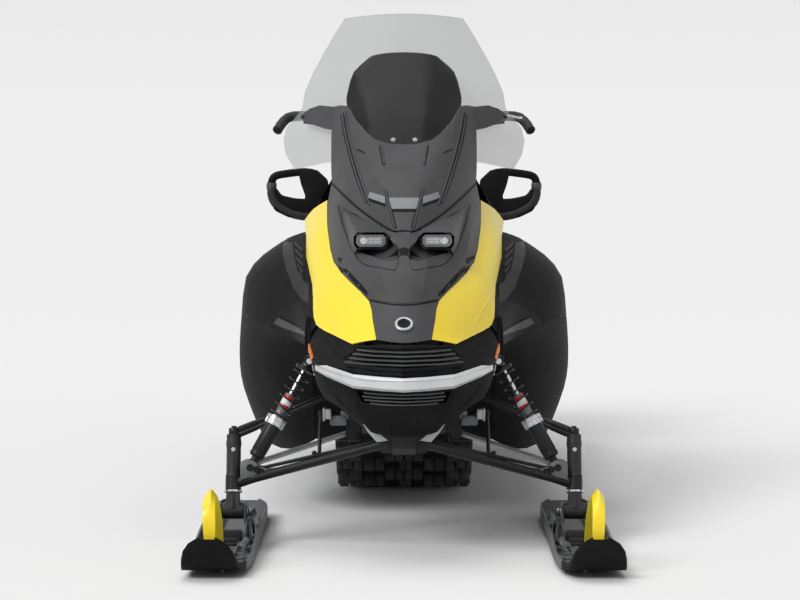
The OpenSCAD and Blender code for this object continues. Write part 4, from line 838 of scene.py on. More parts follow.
handle_top = smooth_path([(288, 850, 936), (330, 850, 944), (384, 850, 939), (428, 850, 930),
                          (441, 850, 908), (441, 850, 884)], 4)
handle_grip = smooth_path([(441, 850, 890), (438, 850, 866), (424, 850, 838), (384, 850, 812),
                           (341, 850, 800), (300, 850, 800)], 4)
piece("passenger_handle_bars", pair_of([
    sweep(handle_top, 13, 16),
    slab([(452, 890), (424, 890), (408, 866), (362, 856), (322, 854), (328, 786), (384, 792), (431, 815),
          (452, 862)],
         32, 8, "y", 852),
    slab([(352, 944), (312, 956), (286, 948), (254, 918), (246, 868), (290, 820), (346, 792), (340, 838),
          (328, 862), (343, 904)], 30, 5, "y", 850),
    slab([(288, 640), (194, 640), (194, 800), (250, 880), (286, 860), (300, 760)], 12, 3, "y", 850),
    block((183, 800, 612), (193, 960, 852), 3),
]), black_plastic, replaces=["passenger_handles"])
piece("passenger_handle_rings", both_sides(
    turned([(10, -12), (15.6, -12), (17, -9), (17, 9), (15.6, 12), (10, 12)], (441, 850, 896), (0, 0, 1),
           20)),
    grey_nylon)
piece("passenger_handle_grips", both_sides(sweep(
    handle_grip, [14, 15, 16, 16.6, 17] + [17.2] * (len(handle_grip) - 6) + [16], 18)), rubber)

# ---------- front suspension ----------

MIRROR = Matrix.Scale(-1, 4, (1, 0, 0))


def side_of(sign):
    """Gives a shape modelled on the left its place there or, mirrored, on the right."""
    def own(part):
        if sign < 0:
            part.transform(MIRROR)
            outward(part)
        return part
    return own


KING_FOOT = Vector((450, -1085, 95))
CASTER = math.radians(15)
KING_DIRECTION = Vector((0, math.sin(CASTER), math.cos(CASTER)))
SHOCK_FOOT = Vector((404, -1080, 211))
SHOCK_TOP = Vector((250, -1015, 486))
ARM_FRONT = Vector((46, -1215, 290))
ARM_REAR = Vector((144, -850, 276))
EYE = KING_FOOT + KING_DIRECTION * 72
# Bush of an arm's pivot, and of a stabiliser link: radius and height pairs
PIVOT = [(5.4, -22), (14, -22), (15, -20), (15, 20), (14, 22), (5.4, 22)]
LINK_BUSH = [(0, -8), (7, -8), (8, -6), (8, 6), (7, 8), (0, 8)]


def on_king(up, back=0.0, across=0.0):
    """A point up the steering axis, behind it and beside it."""
    behind = Vector((0, math.cos(CASTER), -math.sin(CASTER)))
    return KING_FOOT + KING_DIRECTION * up + behind * back + Vector((across, 0, 0))


shock_way = (SHOCK_TOP - SHOCK_FOOT).normalized()
shock_long = (SHOCK_TOP - SHOCK_FOOT).length


def shock_ring(profile, segments=28):
    """A turned part on the shock: radius and share of its length, from the foot up."""
    return turned([(r, k * shock_long) for r, k in profile], SHOCK_FOOT, shock_way, segments)


# Shock: reservoir body, castellated preload collar, inner tube with printed bands, and its rod
piece("shock_bodies", both_sides(shock_ring(
    [(0, 0.03), (10, 0.035), (10, 0.088), (16, 0.09), (19.6, 0.1), (20.5, 0.112), (20.5, 0.13),
     (19.6, 0.135), (19.6, 0.142), (20.5, 0.147), (20.5, 0.4), (19, 0.42), (19, 0.43), (0, 0.43)])),
     black_coat, replaces=["front_shocks"])
collar = shock_ring([(16, 0.385), (22.5, 0.385), (24, 0.392), (24, 0.425), (26.5, 0.427), (27.8, 0.431),
                     (27.8, 0.442), (26, 0.445), (26, 0.449), (27.8, 0.452), (27.8, 0.458), (25, 0.463),
                     (15, 0.463)], 36)
for k in range(10):
    tooth = block((-3, 22.5, 0.388 * shock_long), (3, 27.4, 0.428 * shock_long), 0.8, 1)
    join(collar, tooth, aim(SHOCK_FOOT, shock_way) @ Matrix.Rotation(math.radians(36 * k), 4, "Z"))
piece("shock_collars", both_sides(collar), bright_steel)
piece("shock_inner_tubes", pair_of([
    shock_ring([(0, 0.44), (14, 0.44), (14, 0.5), (13.4, 0.505), (13.4, 0.53), (14, 0.535), (14, 0.67),
                (11, 0.68), (0, 0.68)]),
    shock_ring([(0, 0.94), (10, 0.94), (11, 0.95), (11, 0.975), (0, 0.975)], 20),
]), cast_metal)
piece("shock_red_bands", pair_of([
    shock_ring([(13.5, 0.545), (14.3, 0.546), (14.3, 0.575), (13.5, 0.576)]),
    shock_ring([(13.5, 0.632), (14.3, 0.633), (14.3, 0.66), (13.5, 0.661)]),
]), red_band)
piece("shock_white_bands", both_sides(shock_ring([(13.5, 0.577), (14.3, 0.578), (14.3, 0.631),
                                                  (13.5, 0.632)])),
      white_band)
piece("shock_rods", both_sides(shock_ring([(0, 0.66), (6, 0.66), (6, 0.93), (7.5, 0.935), (7.5, 0.95),
                                           (0, 0.95)], 20)),
      bright_steel)
piece("shock_perches", pair_of([
    shock_ring([(8, 0.9), (25, 0.905), (26, 0.912), (26, 0.93), (20, 0.94), (8, 0.942)], 28),
    turned([(5.2, -14), (12.4, -14), (13, -12), (13, 12), (12.4, 14), (5.2, 14)], SHOCK_TOP, (0, 1, 0), 24),
]), black_coat)

# Springs: one round wire with closed ends
coil = []
COIL_TURNS, STEPS_A_TURN = 5.6, 22
CLOSED_END = 0.08  # share of the wire at each end that lies nearly flat
for k in range(int(COIL_TURNS * STEPS_A_TURN) + 1):
    t = k / (COIL_TURNS * STEPS_A_TURN)
    if t <= CLOSED_END:
        along = CLOSED_END + (t - CLOSED_END) * 0.75
    elif t < 1 - CLOSED_END:
        along = t
    else:
        along = 1 - CLOSED_END + (t - (1 - CLOSED_END)) * 0.75
    rise = 0.466 + 0.436 * along
    angle = 2 * math.pi * COIL_TURNS * t
    coil.append(aim(SHOCK_FOOT, shock_way) @ Vector((
        24.4 * math.cos(angle) * MM, 24.4 * math.sin(angle) * MM, rise * shock_long * MM)) / MM)
piece("coil_springs", both_sides(sweep(coil, 2.4, 8)), black_coat, replaces=["front_springs"])

# Lower arms: black front tubes, bright rear tubes, forged eyes and the plate that carries the shock
low_eye = turned([(11.6, -17), (20, -17), (21, -15.5), (21, 15.5), (20, 17), (11.6, 17)], EYE,
                 KING_DIRECTION, 32)
piece("lower_arm_front_tubes", pair_of([
    low_eye,
    sweep(smooth_path([EYE.lerp(ARM_FRONT, 0.045), EYE.lerp(ARM_FRONT, 0.5), EYE.lerp(ARM_FRONT, 0.972)],
                      5),
          [14.5] + [12] * 9 + [11.5], 18),
    turned(PIVOT, ARM_FRONT, (0, 1, 0), 24),
]), black_coat, replaces=["lower_arms"])
rear_out = SHOCK_FOOT + Vector((0, 12, 4))
piece("lower_arm_rear_tubes", both_sides(sweep([rear_out, rear_out.lerp(ARM_REAR, 0.965)], 7.5, 18)),
      silver_tube)
# Slim brace that lies on each front tube
piece("lower_arm_braces", both_sides(sweep(
    [EYE.lerp(ARM_FRONT, 0.16) + Vector((0, 4, 22)), EYE.lerp(ARM_FRONT, 0.45) + Vector((0, 6, 17)),
     EYE.lerp(ARM_FRONT, 0.93) + Vector((0, 6, 10))], [4.5, 5, 5], 10)), black_coat)
# Links and tie rods: slim bars with thicker ends at the ball joints
link_out = on_king(211)
LINK_IN = Vector((196, -950, 392))
piece("upper_link_bars", pair_of([
    sweep([link_out.lerp(LINK_IN, k) for k in (0.03, 0.06, 0.2, 0.24, 0.3, 0.8, 0.97)],
          [7, 8.5, 8.5, 7.5, 5.2, 4.8, 4.6], 14),
    turned([(6.2, -8), (13, -8), (14, -6), (14, 6), (13, 8), (6.2, 8)], link_out, KING_DIRECTION, 24),
    turned([(5.2, -15), (11, -15), (12.5, -13), (12.5, 13), (11, 15), (5.2, 15)], LINK_IN, (0, 1, 0), 20),
]), black_coat, replaces=["upper_links"])
TIE_EYE = Vector((450, -943.7, 274.6))
TIE_IN = TIE_EYE + Vector((-255, 52, 105))
piece("lower_arm_rear_bushes", both_sides(
    turned(PIVOT, ARM_REAR, (0, 1, 0), 24)),
    black_coat)
# Pressed plate from the eye along the front tube, with the shock's foot pin
foot_plate = [(430, 178), (430, 222), (418, 229), (400, 231), (388, 225), (380, 214), (352, 206),
              (318, 208), (318, 204), (380, 192)]
piece("shock_foot_plates", pair_of([
    slab(foot_plate, 5, 1.2, "y", SHOCK_FOOT.y - 15), slab(foot_plate, 5, 1.2, "y", SHOCK_FOOT.y + 17),
    sweep([SHOCK_FOOT + Vector((0, -10, 0)), SHOCK_FOOT + Vector((0, 12, 0))], 14.6, 20),
]), cast_metal)
piece("suspension_bolts", both_sides(bolts(
    [(SHOCK_FOOT + Vector((0, -18, 0)), (0, -1, 0)), (SHOCK_FOOT + Vector((0, 20, 0)), (0, 1, 0)),
     (Vector((386, -1098.4, 206)), (0, -1, 0)), (Vector((374, -1098.4, 200)), (0, -1, 0))], 13)),
    black_coat)
piece("arm_end_bolts", both_sides(bolts(
    [(ARM_REAR + Vector((0, 30, 0)), (0, 1, 0)),
     (SHOCK_TOP + Vector((0, -22, 0)), (0, -1, 0)), (Vector((196, -972, 392)), (0, -1, 0))], 11)),
    bright_steel)
# Light plates that stiffen the front arm's mounts
piece("arm_mount_plates", both_sides(slab(
    [(40, 301), (70, 297), (92, 322), (106, 345), (80, 333)], 4, 1, "y", -1247)), silver_tube)
piece("arm_front_pivots", both_sides(bolts([(ARM_FRONT + Vector((0, -30, 0)), (0, -1, 0))], 12)),
      black_coat)

# Stabiliser bar with its two upright links, clamps and grey end blocks
piece("stabiliser_links", pair_of([
    sweep([(221, -1132, 252), (221, -1070, 296), (220, -1010, 342)], 5, 12),
    turned(LINK_BUSH, (221, -1136, 249), (0, 1, 0.2), 16),
    turned(LINK_BUSH, (220, -1006, 345), (0, 1, 0.2), 16),
    bolt((221, -1145, 249), (0, -1, -0.2), 12), bolt((234, -1138, 254), (0.6, -1, 0.2), 10),
    bolt((210, -1140, 246), (-0.6, -1, -0.2), 10), bolt((228, -1134, 240), (0.2, -1, -0.7), 9),
]), black_coat)
piece("stabiliser_blocks", pair_of([
    block((193, -1032, 331), (213, -1010, 357), 2), block((209, -1034, 326), (215, -1010, 360), 1.5),
]), silver_tube)
piece("stabiliser_clamps", pair_of([
    block((152, -1016, 312), (196, -992, 340), 5), block((146, -1012, 330), (168, -996, 352), 4),
]), cast_metal)
piece("stabiliser_bar", sweep(smooth_path([(-196, -1004, 344), (-150, -1000, 334), (0, -996, 330),
                                           (150, -1000, 334), (196, -1004, 344)], 3), 8, 14), black_coat)

# Steering legs: a forged column with flats, ribs, a head bolt and the ski's boss below
for side, sign in (("left", 1), ("right", -1)):
    body = "leg_" + side
    own = side_of(sign)
    piece("tie_rod_rod_" + side, own(group([
        sweep([TIE_EYE.lerp(TIE_IN, k) for k in (0.04, 0.1, 0.2, 0.26, 0.9, 0.97)],
              [6.5, 7, 7, 5, 4.6, 5.5], 14),
        turned([(6.2, -9), (12, -9), (13, -7.5), (13, 7.5), (12, 9), (6.2, 9)], TIE_EYE, KING_DIRECTION,
               24),
        turned([(0, -9.5), (6, -8), (9.4, -3), (9.4, 3), (6, 8), (0, 9.5)], TIE_IN, TIE_IN - TIE_EYE, 20),
    ])), black_coat, "tie_" + side, ["tie_rod_" + side])
    column = from_node("ski_leg_" + side)
    if sign < 0:
        column.transform(MIRROR)
    shell = [
        sweep([on_king(91), on_king(104), on_king(128), on_king(160), on_king(178), on_king(188)],
              [21, 17.5, 16.5, 18.5, 20.5, 19.5], 20, None),
        sweep([on_king(6, -2), on_king(26, -2), on_king(48, -1), on_king(53, 0)], [23.5, 21.5, 20, 19.6],
              6),
    ]
    for across in (-9, 9):
        shell.append(sweep([on_king(98, -14, across), on_king(140, -14.5, across),
                            on_king(172, -17, across)],
                           [3, 3.4, 3], 8))
    for p in shell:
        join(column, p)
    piece("leg_column_" + side, own(column), grey_black, body, ["ski_leg_" + side])
    piece("leg_hardware_" + side, own(group([
        bolt(on_king(160, -21.5), (0, -1, 0.27), 8),
        turned([(0, 0), (9, 0), (9.5, 1), (9.5, 3), (6.5, 4.5), (6, 9), (0, 10)], on_king(203),
               KING_DIRECTION, 20),
        turned([(21.4, 0), (24, 0.4), (24.4, 2), (24.4, 5), (23, 6), (21.4, 6)], on_king(48.5),
               KING_DIRECTION, 28),
    ])), bright_steel, body)

# ---------- skis ----------

ski_skin = skin_of("ski_left")


def ski_top(x, y):
    """The height of the ski's upper face, in mm."""
    hit = ski_skin.ray_cast(Vector((x * MM, y * MM, 1)), Vector((0, 0, -1)))[0]
    return hit.z / MM if hit else 20


for side, sign in (("left", 1), ("right", -1)):
    body = "ski_body_" + side
    own = side_of(sign)
    # Ski blade: a black runner that curls up in front, under a grey deck with raised edges
    blade = from_node("ski_" + side)
    for face in blade.faces:
        mid = face.calc_center_median() / MM
        face.material_index = 0 if mid.y < -1500 or mid.z < 11 or face.normal.z < -0.5 else 1
    piece("ski_deck_" + side, blade, [black_plastic, deck_grey], body, ["ski_" + side],
          bevel=1.5)
    # Steps pressed into the deck's inner edge, and the cross ribs behind the runner
    ribs = []
    for y in (-1400, -1330, -1260, -1190):
        ribs.append(block((404, y - 4, 17), (430, y + 4, 24), 1.5, 1))
        ribs.append(block((480, y - 4, 17), (520, y + 4, 24), 1.5, 1))
    for y in (-1440, -1290, -900, -760):
        ribs.append(block((386, y - 5, 20), (402, y + 5, 34), 2, 1))
    ribs.append(sweep([(432, -1480, 24), (428, -1200, 26), (428, -700, 26)], [3, 3.4, 3], 8))
    ribs.append(sweep([(500, -1480, 24), (494, -1200, 26), (494, -700, 26)], [3, 3.4, 3], 8))
    piece("ski_deck_ribs_" + side, own(group(ribs)), deck_grey, body)
    # Saddle of the ski: stepped black stops before and behind the leg, with pressed side plates
    plate = [(-1150, 30), (-1020, 30), (-1050, 92), (-1066, 114), (-1104, 114), (-1120, 92)]
    piece("ski_saddle_" + side, own(group([
        slab(plate, 5, 1.2, "x", 416.5), slab(plate, 5, 1.2, "x", 483.5),
        block((424, -1168, 20), (476, -1148, 56), 3), block((428, -1180, 18), (472, -1166, 38), 3),
        block((430, -1192, 18), (470, -1178, 26), 2), block((428, -1148, 20), (472, -1020, 32), 3),
    ])), grey_black, body)
    # Upright levers and their spring guides on the inner side
    piece("ski_side_levers_" + side, own(group([
        slab([(-1200, 22), (-1190, 22), (-1150, 74), (-1156, 80)], 6, 1.2, "x", 400),
        slab([(-1010, 22), (-1000, 22), (-1034, 66), (-1044, 62)], 6, 1.2, "x", 400),
        sweep(smooth_path([(402, -1150, 78), (398, -1120, 92), (396, -1060, 96), (398, -1010, 80),
                           (404, -970, 50)], 3),
              3.2, 8),
        sweep([(414, -1250, 26), (408, -1180, 56), (412, -1120, 62)], 3, 8),
        bolt((396, -1152, 74), (-1, 0, 0), 12), bolt((396, -1196, 30), (-1, 0, 0), 10),
    ])), grey_black, body)
    piece("ski_bolts_" + side, own(bolts([
        ((411.6, -1085, 95), (-1, 0, 0)), ((488.4, -1085, 95), (1, 0, 0)),
    ], 15)), bright_steel, body)
    # Return springs beside the saddle
    springs = []
    for start, end in (((416, -1330, 34), (406, -1220, 40)), ((404, -1130, 74), (398, -1040, 84))):
        start, end = Vector(start), Vector(end)
        twist, wire = aim((0, 0, 0), end - start), []
        for k in range(99):
            angle = 2 * math.pi * 7 * k / 98
            wire.append(start.lerp(end, k / 98) + twist @ Vector((8 * math.cos(angle), 8 * math.sin(angle),
                                                                  0)))
        springs.append(sweep(wire, 1.9, 6))
    piece("ski_springs_" + side, own(group(springs)), cast_metal, body)
    # Two short horns beside the loop's front foot
    horns = []
    for x in (461.5, 495):
        z = ski_top(478, -1560)
        horns.append(sweep([(x, -1566, z - 6), (x, -1560, z + 6), (x, -1552, z + 17)], [4, 3.6, 3], 8))
    piece("ski_horns_" + side, own(group(horns)), black_plastic, body)
    # Steel wear bar under the keel
    piece("ski_wear_bar_" + side, own(sweep([(450, -1500, 8), (450, -1480, 5.2), (450, -800, 5.2),
                                             (450, -780, 8)],
                                            5, 10)), cast_metal, body)

    # Hand loop: a flat strap that folds to a ridge at its crest
    loop_line = smooth_path([(478, -1555, 60), (478, -1559, 108), (480, -1538, 166), (481, -1480, 196),
                             (480, -1402, 170), (478, -1306, 100), (478, -1254, 26)], 4)
    rings = []
    for k, p in enumerate(loop_line):
        ahead = (loop_line[min(k + 1, len(loop_line) - 1)] - loop_line[max(k - 1, 0)]).normalized()
        out = Vector((0, -ahead.z, ahead.y))
        if p.z > 150:
            out = out.lerp(Vector((0, 0, 1)), (p.z - 150) / 60).normalized()
        half = 10.5 + 5 * min(1, (p.z - 60) / 60) if p.y < -1500 else 15
        fold = 14 * max(0, (p.z - 150) / 46)
        rings.append([p + Vector((x * half, 0, 0)) + out * h for x, h in (
            (-1, -3.5 - fold * 0.6), (-0.35, -3.5), (0.35, -3.5), (1, -3.5 - fold * 0.6),
            (1, 4 - fold * 0.6), (0.22, 4 + fold * 0.5), (-0.22, 4 + fold * 0.5), (-1, 4 - fold * 0.6))])
    piece("ski_loop_strap_" + side, own(loft(rings)), yellow, body, ["ski_loop_" + side],
          bevel=1.2)

# ---------- saddles and backrest ----------


def swollen(name, node, cap_mm, inset_mm):
    """A padded copy of a CAD cushion: remeshed, swelled by a cloth run and held close to its shape."""
    made = from_node(node)
    outward(made)
    mesh = mesh_of(name, made)
    thing = placed(name, mesh)
    bpy.context.view_layer.objects.active = thing
    low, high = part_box(node)
    mid = (low + high) / 2
    size = high - low
    for v in mesh.vertices:
        for axis in range(3):
            v.co[axis] = mid[axis] + (v.co[axis] - mid[axis]) * (1 - 2 * inset_mm * MM / size[axis])
    remesh = thing.modifiers.new("voxels", "REMESH")
    remesh.mode = "VOXEL"
    remesh.voxel_size = 0.006
    bpy.ops.object.modifier_apply(modifier="voxels")
    rest = [v.co.copy() for v in mesh.vertices]
    cloth = thing.modifiers.new("cloth", "CLOTH")
    cloth.settings.use_pressure = True
    cloth.settings.uniform_pressure_force = 4
    cloth.settings.effector_weights.gravity = 0
    cloth.settings.quality = 4
    cloth.collision_settings.use_collision = False
    cloth.point_cache.frame_start, cloth.point_cache.frame_end = 1, 20
    for k in range(1, 21):
        bpy.context.scene.frame_set(k)
    bpy.ops.object.modifier_apply(modifier="cloth")
    bpy.context.scene.frame_set(1)
    for v, start in zip(thing.data.vertices, rest):
        moved = v.co - start
        if moved.length > cap_mm * MM:
            v.co = start + moved.normalized() * cap_mm * MM
        for axis in range(3):
            v.co[axis] = min(max(v.co[axis], low[axis]), high[axis])
    made = bmesh.new()
    made.from_mesh(thing.data)
    bpy.data.objects.remove(thing)
    for k in range(3):
        bmesh.ops.smooth_vert(made, verts=made.verts[:], factor=0.5, use_axis_x=True, use_axis_y=True,
                              use_axis_z=True)
    return made


def sewn(skin, lines, radius):
    """Piping or a seam that lies on a pad."""
    return group([
        sweep([skin.find_nearest(p * MM)[0] / MM for p in smooth_path(points, 8)], radius,
              8) for points in lines
    ])


pads = {}
for name, node, cap_mm in (("driver_pad", "driver_saddle", 14), ("passenger_pad", "passenger_saddle", 14),
                           ("backrest_cushion", "backrest", 10)):
    made = swollen(name, node, cap_mm, 9)
    pads[name] = BVHTree.FromBMesh(made)
    thing = piece(name, made, vinyl, replaces=[node], smooth=80)

# Piping along the shoulders of both saddles, and the sewn channels across them
piece("saddle_piping", group([
    both_sides(sewn(pads["driver_pad"], [[(130, 225, 840), (150, 340, 835), (160, 480, 835),
                                          (165, 640, 840), (160, 710, 850)]], 2.6)),
    both_sides(sewn(pads["passenger_pad"],
                    [[(160, 740, 885), (165, 860, 885), (160, 1000, 885), (150, 1170, 885)]], 2.6)),
]), rubber)
piece("saddle_seams", group([
    sewn(pads["driver_pad"], [[(-150, y, 850), (-60, y - 14, 850), (60, y - 14, 850), (150, y, 850)]], 1.6)
    for y in (330, 440, 550)
] + [
    sewn(pads["passenger_pad"], [[(-150, y, 890), (-60, y - 14, 890), (60, y - 14, 890), (150, y, 890)]],
         1.6)
    for y in (850, 980, 1100)
] + [
    sewn(pads["backrest_cushion"], [[(-130, 1200, z), (0, 1196, z - 10), (130, 1200, z)]],
         1.6) for z in (960, 1050)
]), deep_black)
piece("backrest_posts", both_sides(sweep(smooth_path([(75, 1240, 745), (75, 1246, 820), (75, 1252, 900)],
                                                     3), 12, 14)),
      black_coat)

# ---------- tunnel, boards, tank and tail ----------

piece("tunnel_rivets", pair_of([
    turned([(0, 2.2), (2.6, 1.8), (4.2, 0.4), (4.4, -1), (0, -1)], (220, y, z), (1, 0, 0), 10)
    for z in (372, 590) for y in range(-300 if z < 500 else -540, 1000 if z < 500 else 1360, 60)
]), bright_steel)
piece("tunnel_pressings", pair_of([
    sweep([(220.4, y, 400), (221.6, y, 420), (221.6, y, 560), (220.4, y, 580)], [3, 6, 6, 3], 8)
    for y in range(180, 1000, 120)
]), sheet_metal)
BOARD_TOP, HOLE_STEP = 356, 52
hole_places = [(x, y + (HOLE_STEP / 2 if x in (306, 394) else 0), BOARD_TOP)
               for y in range(-290, 1100, HOLE_STEP) for x in (262, 306, 350, 394)]
piece("running_board_teeth", pair_of([
    turned([(9, 0.5), (9.6, 3.4), (10.6, 3.8), (13, 0.6), (13, -0.6), (9, -0.6)], at, (0, 0, 1), 10)
    for at in hole_places
]), sheet_metal)
piece("running_board_hole_floors", pair_of([
    turned([(0, 0.5), (9.1, 0.5), (9.1, -0.6), (0, -0.6)], at, (0, 0, 1), 10) for at in hole_places
]), deep_black)
piece("running_board_edge_rails", both_sides(sweep([(458, -330, 358), (458, 1120, 358)], 6, 10)),
      sheet_metal)
piece("fuel_cap_ribs", group([
    sweep([(35 * math.cos(a), 60 + 35 * math.sin(a), 856), (35 * math.cos(a), 60 + 35 * math.sin(a), 870)],
          2, 6)
    for a in [math.radians(20 * k) for k in range(18)]
]), black_plastic)
piece("tail_light_ribs", group([
    block((x - 1, 1382, 612), (x + 1, 1386.5, 638), 0.4, 1) for x in range(-72, 80, 12)
]), red_lens)
piece("flap_ribs", group([
    sweep([(x, 1346, 590), (x, 1390, 420), (x, 1440, 240)], [3, 4, 3], 8) for x in (-170, -110, -50, 50,
                                                                                    110, 170)
]), rubber)
piece("hitch_bolts", both_sides(bolts([((170, 1398, 590), (0, 1, 0)), ((60, 1398, 550), (0, 1, 0)),
                                       ((170, 1398, 550), (0, 1, 0))], 11)),
      bright_steel)
piece("rack_fixings", both_sides(bolts([((185, 1240, 664), (0, 0, 1)), ((185, 1540, 664), (0, 0, 1))], 10)),
      bright_steel)

# Foam strips that close the joints between tank, saddles and console
piece("saddle_joint_strips", group([
    block((-108, 202, 602), (108, 232, 784), 12, 3), block((-128, 700, 602), (128, 742, 812), 14, 3),
    block((-104, -116, 640), (104, -48, 800), 16, 3),
]), deep_black)
# Side lids of the tank with their pressed edges
piece("tank_side_lids", both_sides(slab(
    [(-44, 640), (190, 640), (186, 748), (150, 774), (-20, 782), (-46, 752)], 3, 1.2, "x", 139.4)),
    black_band)

# ---------- skid: wheels, shoes and rail cut-outs ----------


def wheel(at, radius, wide):
    """A rubber-tyred wheel with a dished web, six ribs and a bearing, on an axle along X."""
    half = wide / 2
    tyre = turned([(radius - 15, -half), (radius - 3, -half), (radius, -half + 3), (radius, half - 3),
                   (radius - 3, half), (radius - 15, half)], at, (1, 0, 0), 40)
    web = group([turned([
        (14, -half + 1), (radius - 20, -half + 4), (radius - 15, -half + 1), (radius - 15, half - 1),
        (radius - 20, half - 4), (22, half - 5), (20, half + 3), (14, half + 3)
    ], at, (1, 0, 0), 40)] + [
        sweep([Vector(at) + Vector((x, math.cos(a) * r, math.sin(a) * r)) for r in (20, radius - 17)], 3.2,
              8)
        for x in (-half + 3, half - 3) for a in [math.tau * k / 6 for k in range(6)]
    ])
    hub = turned([(0, -half - 2), (8, -half - 2), (14, -half + 1), (14, half + 3), (9, half + 6),
                  (0, half + 6)],
                 at, (1, 0, 0), 24)
    return tyre, web, hub


IDLER_AT, CARRIER_Y = (1225, 141), 420
CARRIER_R = 66
carrier_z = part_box("idler_wheels")[1].z / MM - CARRIER_R
tyres, webs, hubs = [], [], []
for x, (y, z), r in [(x, IDLER_AT, 94.5) for x in (60, 150)] + [(130, (CARRIER_Y, carrier_z), CARRIER_R)]:
    for found, part in zip((tyres, webs, hubs), wheel((x, y, z), r, 22)):
        found.append(part)
piece("skid_wheel_tyres", pair_of(tyres), rubber)
piece("skid_wheel_webs", pair_of(webs), grey_nylon, replaces=["idler_wheels"])
piece("skid_wheel_hubs", pair_of(hubs), bright_steel)
piece("skid_axles", group([
    sweep([(-165, *IDLER_AT), (165, *IDLER_AT)], 12, 16),
    sweep([(-216, CARRIER_Y, carrier_z), (216, CARRIER_Y, carrier_z)], 10, 16),
]), bright_steel)
piece("slide_shoes", both_sides(sweep([(105, 90, 47.5), (105, 640, 47.5), (105, 1190, 47.5)], 1,
                                      section=[(-11, -3), (11, -3), (11, 9), (-11, 9)])), deep_black)
rail_holes = [(112.6, y, z) for y, z in ((240, 90), (360, 90), (480, 90), (680, 90), (790, 90), (1010, 90))]
piece("rail_cutouts", pair_of([turned([(0, 0.6), (17, 0.6), (18, -1), (0, -1)], at, (1, 0, 0), 24)
                               for at in rail_holes]), deep_black)
piece("rail_cutout_rims", pair_of([
    turned([(17, 0.4), (18, 1.8), (21, 1.4), (22, -1), (17, -1)], at, (1, 0, 0), 24) for at in rail_holes
] + [bolt((112.6, y, 100), (1, 0, 0), 15) for y in (150, 560, 900)]), sheet_metal)

# ---------- track ----------

SPROCKET, BOW, IDLER = ((-400, 405), 85), ((60, 286), 240), ((1225, 141), 95)


def track_line(out):
    """Points of the belt's outline at a distance out from its inner face, with its facing, in mm."""
    circles = [SPROCKET, BOW, IDLER]
    joints = []
    for (a, ra), (b, rb) in zip(circles, circles[1:] + circles[:1]):
        a, b = Vector(a), Vector(b)
        way = (b - a).normalized()
        side = Vector((way.y, -way.x))
        lean = math.asin((ra - rb) / (b - a).length)
        joints.append(side * math.cos(lean) + way * math.sin(lean))
    points = []
    for k, (centre, r) in enumerate(circles):
        start, end = joints[k - 1], joints[k]
        a0 = math.atan2(start.y, start.x)
        sweep_by = (math.atan2(end.y, end.x) - a0) % (2 * math.pi)
        steps = max(3, int(sweep_by * (r + out) / 22))
        for s in range(steps + 1):
            a = a0 + sweep_by * s / steps
            points.append((Vector(centre) + Vector((math.cos(a), math.sin(a))) * (r + out), a))
    return points


belt = [(p, a) for p, a in track_line(4)]
piece("track_belt", loft([[
    (x, p.x + math.cos(a) * h, p.y + math.sin(a) * h)
    for x, h in ((-203, -4), (203, -4), (203, 4), (-203, 4))] for p, a in belt], closed=True),
    rubber, replaces=["track"], bevel=1)
# Rows of blocks, two patterns in turn, a little narrower at their tips
BLOCKS = (
    ((-200, -184), (-180, -155), (-148, -124), (-119, -88), (-83, -60), (-13, 3), (6, 21), (62, 88),
     (93, 118), (124, 149), (156, 182), (186, 200)),
    ((-196, -170), (-164, -128), (-56, -28), (-24, -4), (4, 24), (28, 56), (128, 164), (170, 196)),
)
outline = track_line(8)
lengths = [0.0]
for (a, _), (b, _) in zip(outline, outline[1:] + outline[:1]):
    lengths.append(lengths[-1] + (b - a).length)
ROWS, BLOCK_TALL, OUTER_SHORT = 61, 37.5, 30
blocks, plates = bmesh.new(), bmesh.new()
for k in range(ROWS):
    along = lengths[-1] * k / ROWS
    at = max(i for i in range(len(outline)) if lengths[i] <= along)
    (p, a), (q, b) = outline[at], outline[(at + 1) % len(outline)]
    t = (along - lengths[at]) / max(lengths[at + 1] - lengths[at], 1e-6)
    turn = (b - a + math.pi) % (2 * math.pi) - math.pi
    here, face_way = p.lerp(q, t), a + turn * t
    place = Matrix.Translation(Vector((0, here.x, here.y)) * MM) @ Matrix.Rotation(face_way - math.pi / 2,
                                                                                   4, "X")
    for low, high in BLOCKS[k % 2]:
        tall = BLOCK_TALL if abs(low + high) / 2 < 150 or k % 2 else OUTER_SHORT
        lug = block((low, -9, -2), (high, 9, tall), 2, 1)
        for v in lug.verts:
            if v.co.z > tall * 0.6 * MM:
                v.co.y *= 0.72
        join(blocks, lug, place)
    join(plates, block((-200, -12, -1), (200, 12, 5), 1.5, 1), place)
    join(plates, block((-116, -7, -14), (-98, 7, -7), 1, 1), place)
    join(plates, block((98, -7, -14), (116, 7, -7), 1, 1), place)
piece("track_blocks", blocks, block_rubber)
piece("track_bars_and_clips", plates, rubber)

# ---------- floor, lights and camera ----------

HORIZON, ZENITH = "#efefef", "#dedede"
LIT = 0.42


def seen_by_eye(tree):
    """1 where a camera, mirror or glass looks, 0 where the scene is lit."""
    path = add(tree, "LightPath").outputs
    shiny = add(tree, "Math", {"operation": "MAXIMUM"}, In0=path["Is Glossy Ray"],
                In1=path["Is Transmission Ray"])
    return add(tree, "Math", {"operation": "MAXIMUM"}, In0=path["Is Camera Ray"],
               In1=shiny.outputs[0]).outputs[0]


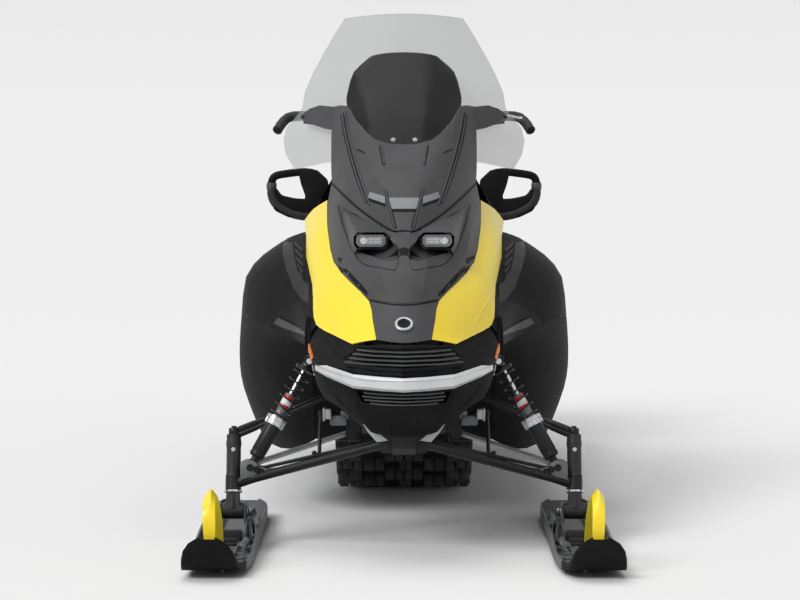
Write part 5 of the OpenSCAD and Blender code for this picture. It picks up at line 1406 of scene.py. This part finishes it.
# Plain studio surround, a shade darker overhead
world = bpy.data.worlds.new("studio")
bpy.context.scene.world = world
world.use_nodes = True
sky = world.node_tree
look = add(sky, "TexCoord").outputs["Generated"]
height = add(sky, "SeparateXYZ", Vector=look).outputs["Z"]
fade = add(sky, "MapRange", {"From Min": 0.0, "From Max": 0.12}, Value=height)
shade = add(sky, "MixRGB", {"Color1": colour(HORIZON), "Color2": colour(ZENITH)},
            Fac=fade.outputs["Result"])
level = add(sky, "MapRange", {"To Min": LIT, "To Max": 1.0}, Value=seen_by_eye(sky))
sky.links.new(shade.outputs["Color"], sky.nodes["Background"].inputs["Color"])
sky.links.new(level.outputs["Result"], sky.nodes["Background"].inputs["Strength"])

# Matt painted studio floor, pale grey, that fades into the surround far away
FLOOR_RADIUS, FADE_FROM, FADE_TO = 40, 3.5, 9.0  # metres
floor = bmesh.new()
bmesh.ops.create_circle(floor, cap_ends=True, segments=96, radius=FLOOR_RADIUS)
floor_mesh = mesh_of("studio_floor", floor)
floor_paint = finish_of("studio_floor_paint", "#f4f4f4", 0.95, Specular_IOR_Level=0.05)
tree = floor_paint.node_tree
place = add(tree, "TexCoord").outputs["Object"]
reach = add(tree, "VectorMath", {"operation": "LENGTH"}, In0=place).outputs["Value"]
far = add(tree, "MapRange", {"From Min": FADE_FROM, "From Max": FADE_TO}, Value=reach)
glow = add(tree, "Emission", {"Color": colour(HORIZON)})
glow_level = add(tree, "MapRange", {"To Min": LIT, "To Max": 1.0}, Value=seen_by_eye(tree))
tree.links.new(glow_level.outputs["Result"], glow.inputs["Strength"])
blend = add(tree, "MixShader", {}, In0=far.outputs["Result"],
            In1=tree.nodes["Principled BSDF"].outputs["BSDF"], In2=glow.outputs["Emission"])
tree.links.new(blend.outputs["Shader"], tree.nodes["Material Output"].inputs["Surface"])
floor_mesh.materials.append(floor_paint)
floor_object = placed("studio_floor", floor_mesh)


def sun(name, at, watts, spread):
    """A far lamp that shines from a point towards the machine, with a spread in degrees."""
    lamp = bpy.data.lights.new(name, "SUN")
    lamp.energy = watts
    lamp.angle = math.radians(spread)
    thing = placed(name, lamp)
    thing.rotation_euler = (-Vector(at)).to_track_quat("-Z", "Y").to_euler()


sun("key_lamp", (-0.95, -1.0, 1.1), 1.7, 25)
sun("top_lamp", (-0.2, 0.1, 1.0), 1.0, 50)
sun("fill_lamp", (1.0, -1.0, 0.5), 0.15, 40)

bpy.context.scene.view_settings.view_transform = "Standard"
